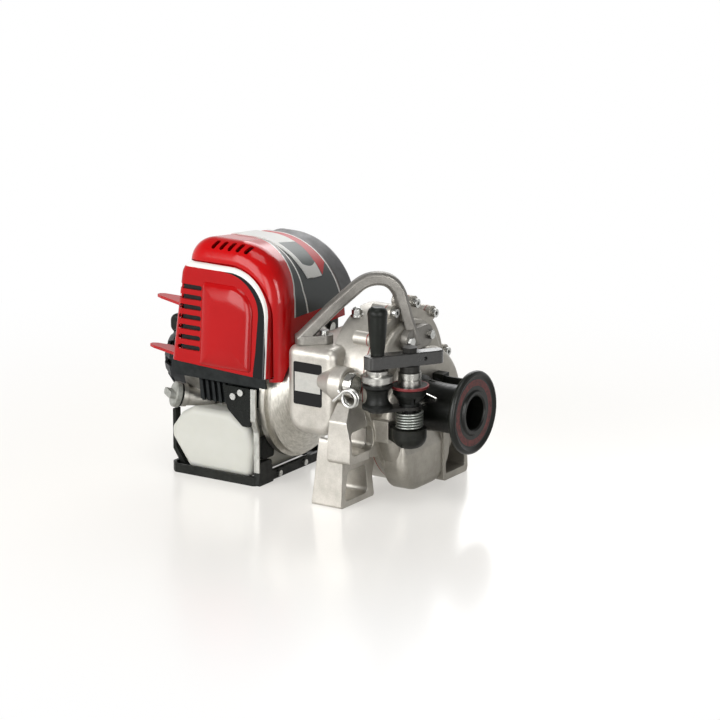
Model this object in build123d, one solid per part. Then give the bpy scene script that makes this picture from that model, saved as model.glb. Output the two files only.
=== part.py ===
"""A petrol capstan winch for forestry work, in millimetres.

X runs along the drum axis towards its free flange, -Y is the side with the muffler guard, +Z is up.
The origin is on the ground, in the middle of the winch's length and width.
"""
import os
from math import acos, atan2, cos, degrees, pi, radians, sin, tan

from build123d import *

# Overall size of the winch
LENGTH = 363.0
HEIGHT = 249.75
FIT = 0.05
GAP = 0.4

# Axes along X, each as its Y and Z
DRUM_AXIS = (0.0, 90.0)
IDLER_AXIS = (0.0, 139.5)
CRANK_AXIS = (-22.0, 107.3)

# Gear case: two overlapping circles make its outline, seen along the drum axis
CASE_TOP = (8.0, 112.0)
CASE_TOP_R = 70.0
BELLY = (22.0, 75.0)
BELLY_R = 72.0
CASE_BACK = 48.0
CASE_FRONT = 88.0
CASE_WALL = 6.0
GASKET = 0.8
COVER_PLATE = 6.0
COVER_FACE = 112.5
SUMP_FACE = 118.0
FOOT_FRONT = 120.0
BLOCK_BACK = 7.0
BLOCK_FRONT = 64.0
BLOCK_SIDE = -76.0
BLOCK_TOP = 152.0
BLOCK_BOTTOM = 62.0
LEG_BACK = 52.0
LEG_FRONT = 87.0
LUG_BACK = 71.0
LUG_FRONT = 97.0
EAR_SIDE = -63.0
SCREW_R = 2.5
HEAD_R = 4.4
HEAD_HIGH = 4.5
SLEEVE_AXIS = (-71.0, 120.0)
SLEEVE_R = 13.0
SLEEVE_BACK = 78.0
SLEEVE_FRONT = 87.5
NECK_R = 17.0
HANDLE_START = (18.0, -66.0)
HANDLE_END = (110.6, 9.2)
HANDLE_FOOT = (28.0, -56.0)
HANDLE_TURN = 39.1
PAD_PLACE = (10.0, 154.0)
DOME_FACE = CASE_FRONT + GASKET + COVER_PLATE + 7
EYE_PLACE = Pos(93, -87.8, 113) * Rot(90, 0, 0)
EYE_WIRE = 3.2

# Gear train: two stages of spur gears with stub teeth
PRESSURE_ANGLE = radians(25)
ADDENDUM = 0.8
DEDENDUM = 1.05
PLAY = 0.12
FIRST_MODULE = 1.0
FIRST_PINION_TEETH = 10
FIRST_GEAR_TEETH = 68
SECOND_MODULE = 1.5
SECOND_PINION_TEETH = 10
MAIN_GEAR_TEETH = 56
FIRST_PLANE = (58.0, 65.0)
MAIN_PLANE = (69.0, 83.0)

# Capstan drum
SHAFT_R = 10.0
DRUM_R = 25.0
DRUM_BACK = 114.5
DRUM_FRONT = 168.0
FLANGE_R = 42.0
FLANGE_FACE = LENGTH / 2
HUB_R = 17.0
HUB_FLOOR = 156.0

# Rope press: a lever on an upright post beside the drum
POST = (136.0, -50.0)
POST_R = 6.0
LEVER_TURN = 54.9
ROLLER_REACH = -34.0
BAR_BACK = -48.0
BAR_END = 35.0
BAR_LOW = 144.0
BAR_HIGH = 157.0
BAR_WIDE = 14.0
LINK_LOW = 100.1
LINK_HIGH = 103.2
ARM_LOW = 60.0
ARM_HIGH = 80.0
BOWL_R = 17.0
COIL_R = 12.6
COIL_WIRE = 2.2
COIL_TURNS = 6
COIL_PITCH = 2.75


def rod_x(radius, x0, x1, axis):
    """A cylinder along X round an axis given by its Y and Z."""
    return Pos((x0 + x1) / 2, axis[0], axis[1]) * Rot(0, 90, 0) * Cylinder(radius, x1 - x0)


def rod_y(radius, y0, y1, x, z):
    """A cylinder along Y."""
    return Pos(x, (y0 + y1) / 2, z) * Rot(90, 0, 0) * Cylinder(radius, y1 - y0)


def rod_z(radius, z0, z1, place):
    """A cylinder along Z at an X and Y."""
    return Pos(place[0], place[1], (z0 + z1) / 2) * Cylinder(radius, z1 - z0)


def block(x0, x1, y0, y1, z0, z1):
    """A box between two corners."""
    middle = Pos((x0 + x1) / 2, (y0 + y1) / 2, (z0 + z1) / 2)
    return middle * Box(x1 - x0, y1 - y0, z1 - z0)


def along_x(face, x0, x1):
    """Push a face drawn in Y and Z from x0 to x1."""
    return extrude(Plane.YZ.offset(x0) * face, x1 - x0)


def along_y(face, y0, y1):
    """Push a face drawn in X and Z from y0 to y1."""
    return extrude(Plane.XZ.offset(-y1) * face, y1 - y0)


def along_z(face, z0, z1):
    """Push a face drawn in X and Y from z0 to z1."""
    return extrude(Plane.XY.offset(z0) * face, z1 - z0)


def polygon(*points):
    """A face with straight edges through the points."""
    return make_face(Polyline(*points, close=True))


def rounded(face, radius):
    """Round every corner of a face."""
    return fillet(face.vertices(), radius)


def on_lever(reach, side=0.0):
    """The X and Y of a point on the press lever, measured from its post."""
    turn = radians(LEVER_TURN)
    x = POST[0] + reach * cos(turn) - side * sin(turn)
    y = POST[1] + reach * sin(turn) + side * cos(turn)
    return (x, y)


def lever_outline(back, front, wide):
    """A bar with round ends along the press lever."""
    middle = on_lever((back + front) / 2)
    return Pos(*middle) * Rot(0, 0, LEVER_TURN) * SlotOverall(front - back, wide)


def case_outline(shrink=0.0):
    """The gear case seen along the drum axis."""
    top = Pos(*CASE_TOP) * Circle(CASE_TOP_R - shrink)
    return top + Pos(*BELLY) * Circle(BELLY_R - shrink)


def screw_places():
    """Y and Z of the screws round the case rim, kept off the legs and the drum side."""
    inset = HEAD_R + 0.4
    places = []
    for turn in (8, 48, 78, 108, 138):
        reach = CASE_TOP_R + inset
        places.append((CASE_TOP[0] + reach * cos(radians(turn)), CASE_TOP[1] + reach * sin(radians(turn))))
    return places


def biarc(start, start_way, end, end_way):
    """Two arcs that leave start along start_way and reach end along end_way."""
    across = end - start
    square = 2 * (1 - start_way.dot(end_way))
    linear = 2 * across.dot(start_way + end_way)
    reach = (-linear + (linear * linear + 4 * square * across.dot(across)) ** 0.5) / (2 * square)
    joint = (start + end + (start_way - end_way) * reach) * 0.5
    first = TangentArc(start, joint, tangent=start_way)
    second = TangentArc(joint, end, tangent=first % 1)
    return [first, second]


def coil(radius, pitch, turns, first_turn, lead_in, lead_out):
    """The middle line of a coil round Z from the origin, with straight ends, as biarcs of a quarter turn."""
    stations = []
    for quarter in range(int(turns * 4) + 1):
        turn = radians(first_turn) + quarter * pi / 2
        place = Vector(radius * cos(turn), radius * sin(turn), pitch * quarter / 4)
        way = Vector(-radius * sin(turn), radius * cos(turn), pitch / (2 * pi)).normalized()
        stations.append((place, way))
    place, way = stations[0]
    edges = [Line(place - way * lead_in, place)]
    for (place, way), (next_place, next_way) in zip(stations, stations[1:]):
        edges += biarc(place, way, next_place, next_way)
    place, way = stations[-1]
    edges.append(Line(place, place + way * lead_out))
    return edges


def wire_form(edges, wire, name):
    """Sweep a round wire along joined edges and print its least gap to itself."""
    path = Wire(edges)
    section = Plane(path @ 0, z_dir=path % 0) * Circle(wire / 2)
    steps = max(60, int(path.length / 1.5))
    points = [path @ (step / steps) for step in range(steps + 1)]
    apart = int(steps * 5 * wire / path.length)
    least = min((points[i] - points[j]).length for i in range(steps) for j in range(i + apart, steps + 1))
    print(name, "least gap to itself", round(least - wire, 2), "mm")
    return sweep(section, path=path)


def eye_line():
    """The middle line of the rope eye, about its own middle."""
    return coil(8.5, 4.3, 1.75, 225, 15, 14)


def eye_boss(radius, length):
    """A round boss or hole along the root of the rope eye."""
    root = eye_line()[0]
    bar = Pos(0, 0, length / 2) * Cylinder(radius, length)
    return EYE_PLACE * (Plane(root @ 0, z_dir=root % 0) * bar)


def gearbox_block():
    """Rounded block behind the gear chamber, with the neck for the bearing sleeve and the rope eye."""
    side = polygon((BLOCK_BACK, BLOCK_BOTTOM), (BLOCK_FRONT, BLOCK_BOTTOM), (BLOCK_FRONT, BLOCK_TOP),
                   (BLOCK_BACK, BLOCK_TOP))
    side = fillet(side.vertices().group_by(Axis.Y)[0], 20)
    side = fillet(side.vertices().group_by(Axis.Y)[-1], 10)
    body = along_y(side, BLOCK_SIDE, 44)
    body = fillet(body.edges().group_by(Axis.Y)[0], 9.5)
    neck = rod_x(NECK_R, BLOCK_FRONT, SLEEVE_BACK, SLEEVE_AXIS)
    neck = fillet(neck.edges().group_by(Axis.X)[-1], 1.5)
    taper = Pos(BLOCK_FRONT - 9, *SLEEVE_AXIS) * Rot(0, 90, 0) * Cone(8, NECK_R, 18)
    return body + neck + taper


def strap_window():
    """The upper strap loop's opening."""
    return along_x(Pos(-74.5, 66) * RectangleRounded(39, 24, 6), LEG_BACK - 1, LUG_FRONT + 1)


def lug_taper():
    """The upper strap loop seen from the muffler side, narrowing towards the neck."""
    taper = polygon((LUG_BACK, 40), (LUG_FRONT, 40), (LUG_FRONT, 70), (LUG_FRONT - 9, 105),
                    (LUG_BACK + 3, 105), (LUG_BACK, 70))
    return along_y(taper, -100, -39)


def strap_lug():
    """Upper strap loop: a stout lug that stands out past the leg."""
    side = polygon((-98, 46), (-48, 44), (-46, 84), (-54, 104), (-84, 104), (-97, 88))
    lug = along_x(rounded(side, 4), LUG_BACK, LUG_FRONT)
    plan = polygon((LUG_BACK, -99), (LUG_FRONT, -99), (LUG_FRONT, EAR_SIDE), (CASE_FRONT - GAP, EAR_SIDE),
                   (CASE_FRONT - GAP, -40), (LUG_BACK, -40))
    return lug & along_z(plan, 40, 110) & lug_taper()


def strap_ear():
    """The front half's share of the upper strap loop, in line with the lug on the rear half."""
    side = polygon((EAR_SIDE + GAP, 46), (-46, 44), (-46, 84), (-54, 104), (EAR_SIDE + GAP, 104))
    ear = along_x(side, CASE_FRONT + GASKET, LUG_FRONT)
    return (ear & lug_taper()) - strap_window()


def legs():
    """Near leg with its lower strap loop under the lug, and the far foot."""
    near = polygon((-98, 0), (-38, 0), (-42, 22), (-36, 44), (-36, 78), (-88, 78), (-94, 70))
    slant = polygon((LEG_BACK, -1), (LEG_FRONT, -1), (LEG_FRONT, 80), (LEG_BACK + 8, 80))
    far = polygon((52, 0), (98, 0), (95, 42), (84, 70), (60, 60))
    low_loop = polygon((-92, 6), (-49, 6), (-54, 36), (-86, 36))
    far_hole = polygon((79, 6), (92, 6), (90, 32))
    feet = along_x(rounded(near, 2.5), LEG_BACK, LEG_FRONT) & along_y(slant, -100, -30)
    feet += along_x(rounded(far, 2.5), LEG_BACK, LEG_FRONT) + strap_lug()
    feet -= along_x(rounded(low_loop, 5), LEG_BACK - 1, LEG_FRONT + 1) + strap_window()
    return feet - along_x(rounded(far_hole, 2), LEG_BACK - 1, LEG_FRONT + 1)


def gear_case():
    """Cast rear half: gearbox block, gear chamber, near leg with two loops and the far foot."""
    body = along_x(case_outline(), CASE_BACK, CASE_FRONT)
    lugs = Sketch() + [Pos(*place) * Circle(HEAD_R + 2.6) for place in screw_places()]
    body += along_x(lugs, CASE_FRONT - 16, CASE_FRONT)
    body += gearbox_block() + legs()
    body += rod_x(44, BLOCK_BACK, BLOCK_BACK + 10, CRANK_AXIS)
    body -= along_x(case_outline(CASE_WALL), CASE_BACK + CASE_WALL, CASE_FRONT + 1)
    body -= rod_x(11, BLOCK_BACK - 1, CASE_BACK + CASE_WALL + 1, CRANK_AXIS)
    body -= rod_x(13, CASE_BACK - 2, CASE_BACK + CASE_WALL + 1, DRUM_AXIS)
    body -= rod_x(11, CASE_BACK - 2, CASE_BACK + CASE_WALL + 1, IDLER_AXIS)
    body -= rod_x(SLEEVE_R + GAP, SLEEVE_BACK, SLEEVE_FRONT + 2, SLEEVE_AXIS)
    body -= eye_boss(EYE_WIRE / 2, 15)
    for place in screw_places():
        body -= rod_x(SCREW_R, CASE_FRONT - 12, CASE_FRONT + 1, place)
    return body


def rim_plate(x0, x1):
    """The case rim with its screw lugs, pierced for the screws."""
    lugs = Sketch() + [Pos(*place) * Circle(HEAD_R + 2.6) for place in screw_places()]
    holes = Sketch() + [Pos(*place) * Circle(SCREW_R) for place in screw_places()]
    return along_x(case_outline() + lugs - holes, x0, x1)


def case_gasket():
    """Red paper gasket between the two case halves."""
    sheet = rim_plate(CASE_FRONT, CASE_FRONT + GASKET)
    return sheet - along_x(case_outline(CASE_WALL), CASE_FRONT - 1, CASE_FRONT + 2)


def sump():
    """Low bulge of the cover under the drum, flat below and rounded at the front."""
    start = CASE_FRONT + GASKET + COVER_PLATE - 1
    bulge = along_x(Pos(14, 37.5) * RectangleRounded(92, 74, 34), start, SUMP_FACE)
    bulge = fillet(bulge.edges().group_by(Axis.X)[-1], 9)
    shape = polygon((start, 0), (SUMP_FACE, 0), (SUMP_FACE, 42), (COVER_FACE, 58), (start, 58))
    return bulge & along_y(shape, -40, 70)


def front_foot():
    """Far foot of the front half: a loop that stands out beside the sump."""
    side = polygon((40, 0), (84, 0), (86, 5), (84, 34), (72, 56), (40, 56))
    loop = polygon((44, 7), (80.5, 7), (79, 32), (68, 50), (44, 50))
    foot = along_x(rounded(side, 2.5), CASE_FRONT + GASKET, FOOT_FRONT)
    return foot - along_x(rounded(loop, 3), CASE_FRONT, FOOT_FRONT + 1)


def case_cover():
    """Front half: rim plate, rounded belly with a low sump and a foot, and the drum bearing's boss."""
    back = CASE_FRONT + GASKET
    plate_front = back + COVER_PLATE
    cover = rim_plate(back, plate_front) + strap_ear() + front_foot()
    belly = along_x(Pos(*BELLY) * Circle(BELLY_R - 5), plate_front - 1, COVER_FACE)
    dome = along_x(Pos(*CASE_TOP) * Circle(CASE_TOP_R - 10), plate_front - 1, plate_front + 7)
    belly = fillet(belly.edges().group_by(Axis.X)[-1], 8)
    dome = fillet(dome.edges().group_by(Axis.X)[-1], 5)
    cover += belly + dome + sump()
    cover += block(plate_front - 2, COVER_FACE, -52, -30, ARM_LOW, ARM_HIGH + 2)
    hollow = along_x(Pos(*BELLY) * Circle(BELLY_R - 11), back - 1, COVER_FACE - 6)
    hollow -= rod_x(24, back - 2, COVER_FACE, DRUM_AXIS)
    hollow -= rod_x(15, back - 2, COVER_FACE, IDLER_AXIS)
    cover -= hollow
    cover -= rod_x(19, back - 1, COVER_FACE - 5, DRUM_AXIS)
    cover -= rod_x(SHAFT_R + 6, back - 1, COVER_FACE + 1, DRUM_AXIS)
    return cover - rod_x(11, back - 1, back + 9, IDLER_AXIS)


def case_screws():
    """Socket screws round the case rim."""
    seat = CASE_FRONT + GASKET + COVER_PLATE
    screws = []
    for place in screw_places():
        screw = rod_x(SCREW_R, CASE_FRONT - 10, seat, place) + rod_x(HEAD_R, seat, seat + HEAD_HIGH, place)
        socket = Plane.YZ.offset(seat + HEAD_HIGH - 2.5) * Pos(*place) * RegularPolygon(2.2, 6)
        screws.append(screw - extrude(socket, 3))
    return Compound(children=screws)


def gear(teeth, module, turn, x0, x1, axis):
    """A spur gear with involute flanks; one tooth points at the angle turn, from Y towards Z."""
    pitch = teeth * module / 2
    base = pitch * cos(PRESSURE_ANGLE)
    root = pitch - DEDENDUM * module
    tip = pitch + ADDENDUM * module
    at_pitch = pi / (2 * teeth) - PLAY / pitch + tan(PRESSURE_ANGLE) - PRESSURE_ANGLE
    flank = []
    for radius in (root, max(base, root + 0.1), pitch, tip):
        roll = acos(min(1.0, base / radius))
        flank.append((radius, at_pitch - tan(roll) + roll))
    points = []
    for tooth in range(teeth):
        middle = radians(turn) + 2 * pi * tooth / teeth
        points += [(r * cos(middle - a), r * sin(middle - a)) for r, a in flank]
        points += [(r * cos(middle + a), r * sin(middle + a)) for r, a in reversed(flank)]
    return along_x(Pos(*axis) * polygon(*points), x0, x1)


def facing(start, end):
    """The angle from one axis towards another, in degrees from Y towards Z."""
    return degrees(atan2(end[1] - start[1], end[0] - start[0]))


def idler_gear():
    """The middle shaft: a large first gear and a small second pinion in one piece."""
    gap_turn = facing(IDLER_AXIS, CRANK_AXIS) + 180 / FIRST_GEAR_TEETH
    large = gear(FIRST_GEAR_TEETH, FIRST_MODULE, gap_turn, *FIRST_PLANE, IDLER_AXIS)
    for turn in range(0, 360, 60):
        y = IDLER_AXIS[0] + 20 * cos(radians(turn))
        z = IDLER_AXIS[1] + 20 * sin(radians(turn))
        large -= rod_x(6, FIRST_PLANE[0] - 1, FIRST_PLANE[1] + 1, (y, z))
    turn = facing(IDLER_AXIS, DRUM_AXIS)
    small = gear(SECOND_PINION_TEETH, SECOND_MODULE, turn, MAIN_PLANE[0] - 2, MAIN_PLANE[1] + 2, IDLER_AXIS)
    neck = rod_x(5.5, FIRST_PLANE[1] - 1, MAIN_PLANE[0], IDLER_AXIS)
    shaft = rod_x(5, CASE_BACK - 1, CASE_FRONT + 8, IDLER_AXIS)
    return large + neck + small + shaft


def main_gear():
    """The large gear on the drum shaft, lightened by six holes."""
    gap_turn = facing(DRUM_AXIS, IDLER_AXIS) + 180 / MAIN_GEAR_TEETH
    wheel = gear(MAIN_GEAR_TEETH, SECOND_MODULE, gap_turn, *MAIN_PLANE, DRUM_AXIS)
    for turn in range(0, 360, 60):
        y = DRUM_AXIS[0] + 26 * cos(radians(turn))
        z = DRUM_AXIS[1] + 26 * sin(radians(turn))
        wheel -= rod_x(7, MAIN_PLANE[0] - 1, MAIN_PLANE[1] + 1, (y, z))
    return wheel - rod_x(SHAFT_R, MAIN_PLANE[0] - 1, MAIN_PLANE[1] + 1, DRUM_AXIS)


def drum_shaft():
    """Steel shaft from the rear bearing to the drum hub, with a shoulder for the main gear."""
    shaft = rod_x(SHAFT_R - 2, CASE_BACK, FIRST_PLANE[1] + 2, DRUM_AXIS)
    shaft += rod_x(SHAFT_R, FIRST_PLANE[1] + 2, HUB_FLOOR - 6, DRUM_AXIS)
    return chamfer(shaft.edges().group_by(Axis.X)[-1], 1)


def bearing(inner, outer, x0, x1, axis):
    """A closed ball bearing: two races and a shield between them."""
    ring = rod_x(outer, x0, x1, axis) - rod_x(inner, x0 - 1, x1 + 1, axis)
    groove = rod_x(outer - 2, x1 - 0.6, x1 + 1, axis) - rod_x(inner + 2, x1 - 1, x1 + 2, axis)
    return ring - groove


def shaft_bearings():
    """The bearings of the drum shaft, the middle shaft and the clutch shaft."""
    wall = CASE_BACK + CASE_WALL
    back = CASE_FRONT + GASKET
    return Compound(children=[
        bearing(SHAFT_R - 2 + FIT, 13, CASE_BACK - 2, wall, DRUM_AXIS),
        bearing(SHAFT_R + FIT, 19, COVER_FACE - 17, COVER_FACE - 5, DRUM_AXIS),
        bearing(5 + FIT, 11, CASE_BACK - 2, wall, IDLER_AXIS),
        bearing(5 + FIT, 11, back + 1, back + 9, IDLER_AXIS),
        bearing(4 + FIT, 11, BLOCK_BACK, BLOCK_BACK + 8, CRANK_AXIS),
        bearing(4 + FIT, 11, wall - 8, wall, CRANK_AXIS),
    ])


def shaft_seal():
    """Rubber lip seal in the mouth of the drum boss."""
    ring = rod_x(SHAFT_R + 6, COVER_FACE - 5, COVER_FACE, DRUM_AXIS)
    return ring - rod_x(SHAFT_R + FIT, COVER_FACE - 6, COVER_FACE + 1, DRUM_AXIS)


def drum():
    """Capstan drum: a hollow, slightly waisted cylinder with a row of small notches."""
    half = [(DRUM_BACK, 0), (DRUM_BACK, DRUM_R + 4), (DRUM_BACK + 3, DRUM_R + 4), (DRUM_BACK + 7, DRUM_R + 1)]
    line = Polyline((DRUM_BACK, 0), *half[1:])
    waist = ThreePointArc(half[-1], ((DRUM_BACK + DRUM_FRONT) / 2, DRUM_R - 0.6), (DRUM_FRONT, DRUM_R))
    close = Polyline((DRUM_FRONT, DRUM_R), (DRUM_FRONT, 0), (DRUM_BACK, 0))
    body = revolve(Plane.XY * make_face(line + waist + close), Axis.X)
    body = Pos(0, *DRUM_AXIS) * body
    body -= rod_x(SHAFT_R, DRUM_BACK - 1, HUB_FLOOR, DRUM_AXIS)
    body -= rod_x(HUB_R, HUB_FLOOR, DRUM_FRONT + 1, DRUM_AXIS)
    for turn in range(0, 360, 45):
        notch = Pos(DRUM_BACK + 16, 0, DRUM_R + 0.6) * Box(7, 3.5, 3)
        body -= Pos(0, *DRUM_AXIS) * Rot(turn, 0, 0) * notch
    return body


def drum_flange():
    """Free-end flange: a dished disc with a rolled rim, open at the hub."""
    rim = FLANGE_FACE - 3.5
    outline = Polyline((DRUM_FRONT, HUB_R), (DRUM_FRONT, DRUM_R - 0.5), (DRUM_FRONT + 2, DRUM_R + 1))
    throat = (DRUM_FRONT + 2, DRUM_R + 1)
    flare = ThreePointArc(throat, (DRUM_FRONT + 5, DRUM_R + 9), (rim - 3.5, FLANGE_R - 2))
    roll = ThreePointArc((rim - 3.5, FLANGE_R - 2), (rim, FLANGE_R), (FLANGE_FACE, FLANGE_R - 3.5))
    dish = Polyline((FLANGE_FACE, FLANGE_R - 3.5), (FLANGE_FACE - 2, FLANGE_R - 7), (FLANGE_FACE - 2, 23),
                    (FLANGE_FACE, 21.5), (FLANGE_FACE, HUB_R + 1.5), (FLANGE_FACE - 1.5, HUB_R),
                    (DRUM_FRONT, HUB_R))
    ring = revolve(Plane.XY * make_face(outline + flare + roll + dish), Axis.X)
    return Pos(0, *DRUM_AXIS) * ring


def drum_bolts():
    """Four black socket bolts on the floor of the hub recess and the shaft nut between them."""
    bolts = [rod_x(7.5, HUB_FLOOR, HUB_FLOOR + 3, DRUM_AXIS)]
    nut = Plane.YZ.offset(HUB_FLOOR + 3) * Pos(*DRUM_AXIS) * RegularPolygon(6.5, 6)
    bolts[0] += extrude(nut, 5)
    for turn in range(45, 360, 90):
        place = (DRUM_AXIS[0] + 12 * cos(radians(turn)), DRUM_AXIS[1] + 12 * sin(radians(turn)))
        head = rod_x(3.6, HUB_FLOOR, HUB_FLOOR + 4, place)
        socket = Plane.YZ.offset(HUB_FLOOR + 2) * Pos(*place) * RegularPolygon(1.9, 6)
        bolts.append(head - extrude(socket, 3))
    return Compound(children=bolts)


def carry_handle():
    """Cast carrying arch: a ridged bar from the gearbox block over to the case cover."""
    start = Vector(*HANDLE_START, 0)
    run = Vector(*HANDLE_END, 0) - start
    heights = ((0, 155), (0.28, 188), (0.56, 217), (0.75, 215), (0.825, 202), (0.885, 174), (0.955, 148))
    points = [start + run * share + Vector(0, 0, high) for share, high in heights]
    path = FilletPolyline(*points, radius=(100, 30, 20, 30, 60))
    ridge = polygon((-7, -5), (-3.5, -7), (3.5, -7), (7, -5), (7, 4), (0, 7), (-7, 4))
    section = Plane(path @ 0, x_dir=Vector(run.Y, -run.X, 0) / run.length, z_dir=path % 0)
    arch = sweep(section * rounded(ridge, 1.5), path=path)
    foot = Pos(*HANDLE_FOOT) * SlotOverall(38, 20, rotation=HANDLE_TURN)
    arch += along_z(foot, BLOCK_TOP, BLOCK_TOP + 9)
    arch -= block(0, 60, -90, 0, BLOCK_TOP - 20, BLOCK_TOP)
    pad = Pos(*PAD_PLACE) * SlotOverall(50, 22)
    arch += along_x(pad, DOME_FACE, DOME_FACE + 8)
    arch -= block(DOME_FACE - 14, DOME_FACE, -20, 40, 138, 173)
    return arch - block(DOME_FACE - 20, CASE_FRONT + GASKET + COVER_PLATE + GAP, -20, 40, 172, 184)


def handle_bolts():
    """Bolts that hold the two feet of the carrying arch."""
    turn = radians(HANDLE_TURN)
    place = (HANDLE_FOOT[0] + 10 * cos(turn), HANDLE_FOOT[1] + 10 * sin(turn))
    bolts = [rod_z(4.6, BLOCK_TOP + 9, BLOCK_TOP + 13, place)]
    for side in (-18.5, 18.5):
        hexagon = Pos(PAD_PLACE[0] + side, PAD_PLACE[1]) * RegularPolygon(4.8, 6)
        bolts.append(along_x(hexagon, DOME_FACE + 8, DOME_FACE + 12))
    return Compound(children=bolts)


def bearing_sleeve():
    """Turned steel sleeve on the neck of the gearbox block."""
    sleeve = rod_x(SLEEVE_R, SLEEVE_BACK, SLEEVE_FRONT, SLEEVE_AXIS)
    sleeve = chamfer(sleeve.edges().group_by(Axis.X)[-1], 1)
    return sleeve - rod_x(SLEEVE_R - 3.5, SLEEVE_BACK + 2, SLEEVE_FRONT + 1, SLEEVE_AXIS)


def rope_eye():
    """Thick wire pigtail that leads the rope towards the drum; its root sits in a boss of the gearbox."""
    ring = wire_form(eye_line(), EYE_WIRE, "rope_eye")
    return EYE_PLACE * ring


def press_bracket():
    """Dark cast arm from the case cover out to the post, with a bowl-shaped lower end."""
    arm = polygon((COVER_FACE, -50), (COVER_FACE, -32), (POST[0] - 2, POST[1] + 16), (POST[0], POST[1] - 16))
    body = along_z(arm, ARM_LOW + 4, ARM_HIGH - 3)
    bowl = rod_z(BOWL_R, ARM_LOW, ARM_HIGH, POST)
    body += fillet(bowl.edges().group_by(Axis.Z)[0], 12)
    return body - rod_z(POST_R, ARM_LOW - 1, ARM_HIGH + 1, POST)


def pivot_post():
    """Upright steel post with a collar under the lever and a nut on top."""
    post = rod_z(POST_R, ARM_LOW, BAR_HIGH + 5, POST)
    post += rod_z(10, 137.5, BAR_LOW - GAP, POST)
    nut = along_z(Pos(*POST) * RegularPolygon(8, 6), BAR_HIGH + GAP, BAR_HIGH + 5)
    return post + nut


def lever_bar():
    """Flat steel press bar, drilled for the post, the roller pin and a set screw."""
    bar = along_z(lever_outline(BAR_BACK, BAR_END, BAR_WIDE), BAR_LOW, BAR_HIGH)
    bar = chamfer(bar.edges().group_by(Axis.Z)[-1], 1)
    bar -= rod_z(POST_R + FIT, BAR_LOW - 1, BAR_HIGH + 1, POST)
    bar -= rod_z(4, BAR_LOW - 1, BAR_HIGH + 1, on_lever(ROLLER_REACH))
    place = on_lever(14, -BAR_WIDE / 2)
    hole = Pos(place[0], place[1], 150.5) * Rot(0, 0, LEVER_TURN) * Rot(90, 0, 0) * Cylinder(2, 9)
    return bar - hole


def link_plate():
    """Dark lower plate that joins the roller pin to the post."""
    plate = along_z(lever_outline(ROLLER_REACH - 9, 12, 18), LINK_LOW, LINK_HIGH)
    plate += rod_z(12, LINK_LOW, LINK_HIGH, POST)
    plate -= rod_z(POST_R + FIT, LINK_LOW - 1, LINK_HIGH + 1, POST)
    return plate - rod_z(4, LINK_LOW - 1, LINK_HIGH + 1, on_lever(ROLLER_REACH))


def spring_cone():
    """Black cone on the link plate, narrow below, with a slot for the spring's upper end."""
    bore = POST_R + FIT
    profile = polygon((bore, LINK_HIGH), (10.5, LINK_HIGH), (10.5, LINK_HIGH + 3), (16.5, LINK_HIGH + 12),
                      (17, 120.4), (bore, 120.4))
    cone = Pos(*POST, 0) * revolve(Plane.XZ * profile, Axis.Z)
    slot = Pos(*POST, LINK_HIGH + 4) * Rot(0, 0, -40) * Pos(14, 0, 0) * Box(10, 3.2, 11)
    return cone - slot


def guide_disc():
    """Thin guide disc that turns on the post."""
    disc = rod_z(19, 121, 124, POST)
    disc = chamfer(disc.edges().group_by(Axis.Z)[0], 1)
    return disc - rod_z(POST_R + FIT, 120, 125, POST)


def disc_ring():
    """Turned steel ring on the guide disc, with a groove round it."""
    ring = rod_z(11.5, 124, 137, POST)
    ring -= rod_z(12, 129.5, 131.5, POST) - rod_z(10, 129, 132, POST)
    return ring - rod_z(POST_R + FIT, 123, 138, POST)


def lever_spring():
    """Torsion spring round the post, between the arm and the link plate."""
    edges = coil(COIL_R, COIL_PITCH, COIL_TURNS, 200, 9, 7)
    spring = wire_form(edges, COIL_WIRE, "lever_spring")
    return Pos(*POST, ARM_HIGH + GAP + COIL_WIRE / 2) * spring


def roller_pin():
    """Steel pin through the lever that carries the guide roller below and the knob above."""
    place = on_lever(ROLLER_REACH)
    pin = rod_z(4, LINK_LOW, 198, place)
    return pin + rod_z(7, 142.6, BAR_LOW, place)


def guide_roller():
    """Black plastic spool roller."""
    bore = 4 + FIT
    line = Polyline((bore, 103.6), (15, 103.6), (15, 106.5), (12, 109))
    waist = ThreePointArc((12, 109), (10.4, 116), (12, 123))
    close = Polyline((12, 123), (15, 125.5), (15, 128.4), (bore, 128.4), (bore, 103.6))
    spool = revolve(Plane.XZ * make_face(line + waist + close), Axis.Z)
    return Pos(*on_lever(ROLLER_REACH), 0) * spool


def roller_ring():
    """Turned steel ring on top of the spool roller."""
    place = on_lever(ROLLER_REACH)
    ring = rod_z(11, 128.4, 131, place) + rod_z(15.5, 131, 138, place)
    ring = chamfer(ring.edges().group_by(Axis.Z)[-1], 1.2)
    ring += rod_z(11, 138, 142.2, place)
    return ring - rod_z(4 + FIT, 128, 143, place)


def knob():
    """Revolving grip on the end of the roller pin, wider towards its rounded top."""
    bore = 4 + FIT
    line = Polyline((bore, 157.4), (6.8, 157.4), (6.8, 160))
    bulge = ThreePointArc((6.8, 160), (8.6, 178), (9.7, 197))
    crown = ThreePointArc((9.7, 197), (8.9, 202.6), (5, 205.5))
    close = Polyline((5, 205.5), (0, 205.5), (0, 199), (bore, 199), (bore, 157.4))
    grip = revolve(Plane.XZ * make_face(line + bulge + crown + close), Axis.Z)
    return Pos(*on_lever(ROLLER_REACH), 0) * grip


def rope_stripper():
    """Bright leaf-shaped finger that keeps the rope from riding back under itself."""
    leaf = polygon((COVER_FACE, 99), (COVER_FACE + 26, 98), (COVER_FACE + 47, 107), (COVER_FACE + 28, 112),
                   (COVER_FACE, 110))
    return along_y(rounded(leaf, 2), -31.6, -29.4)


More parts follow.
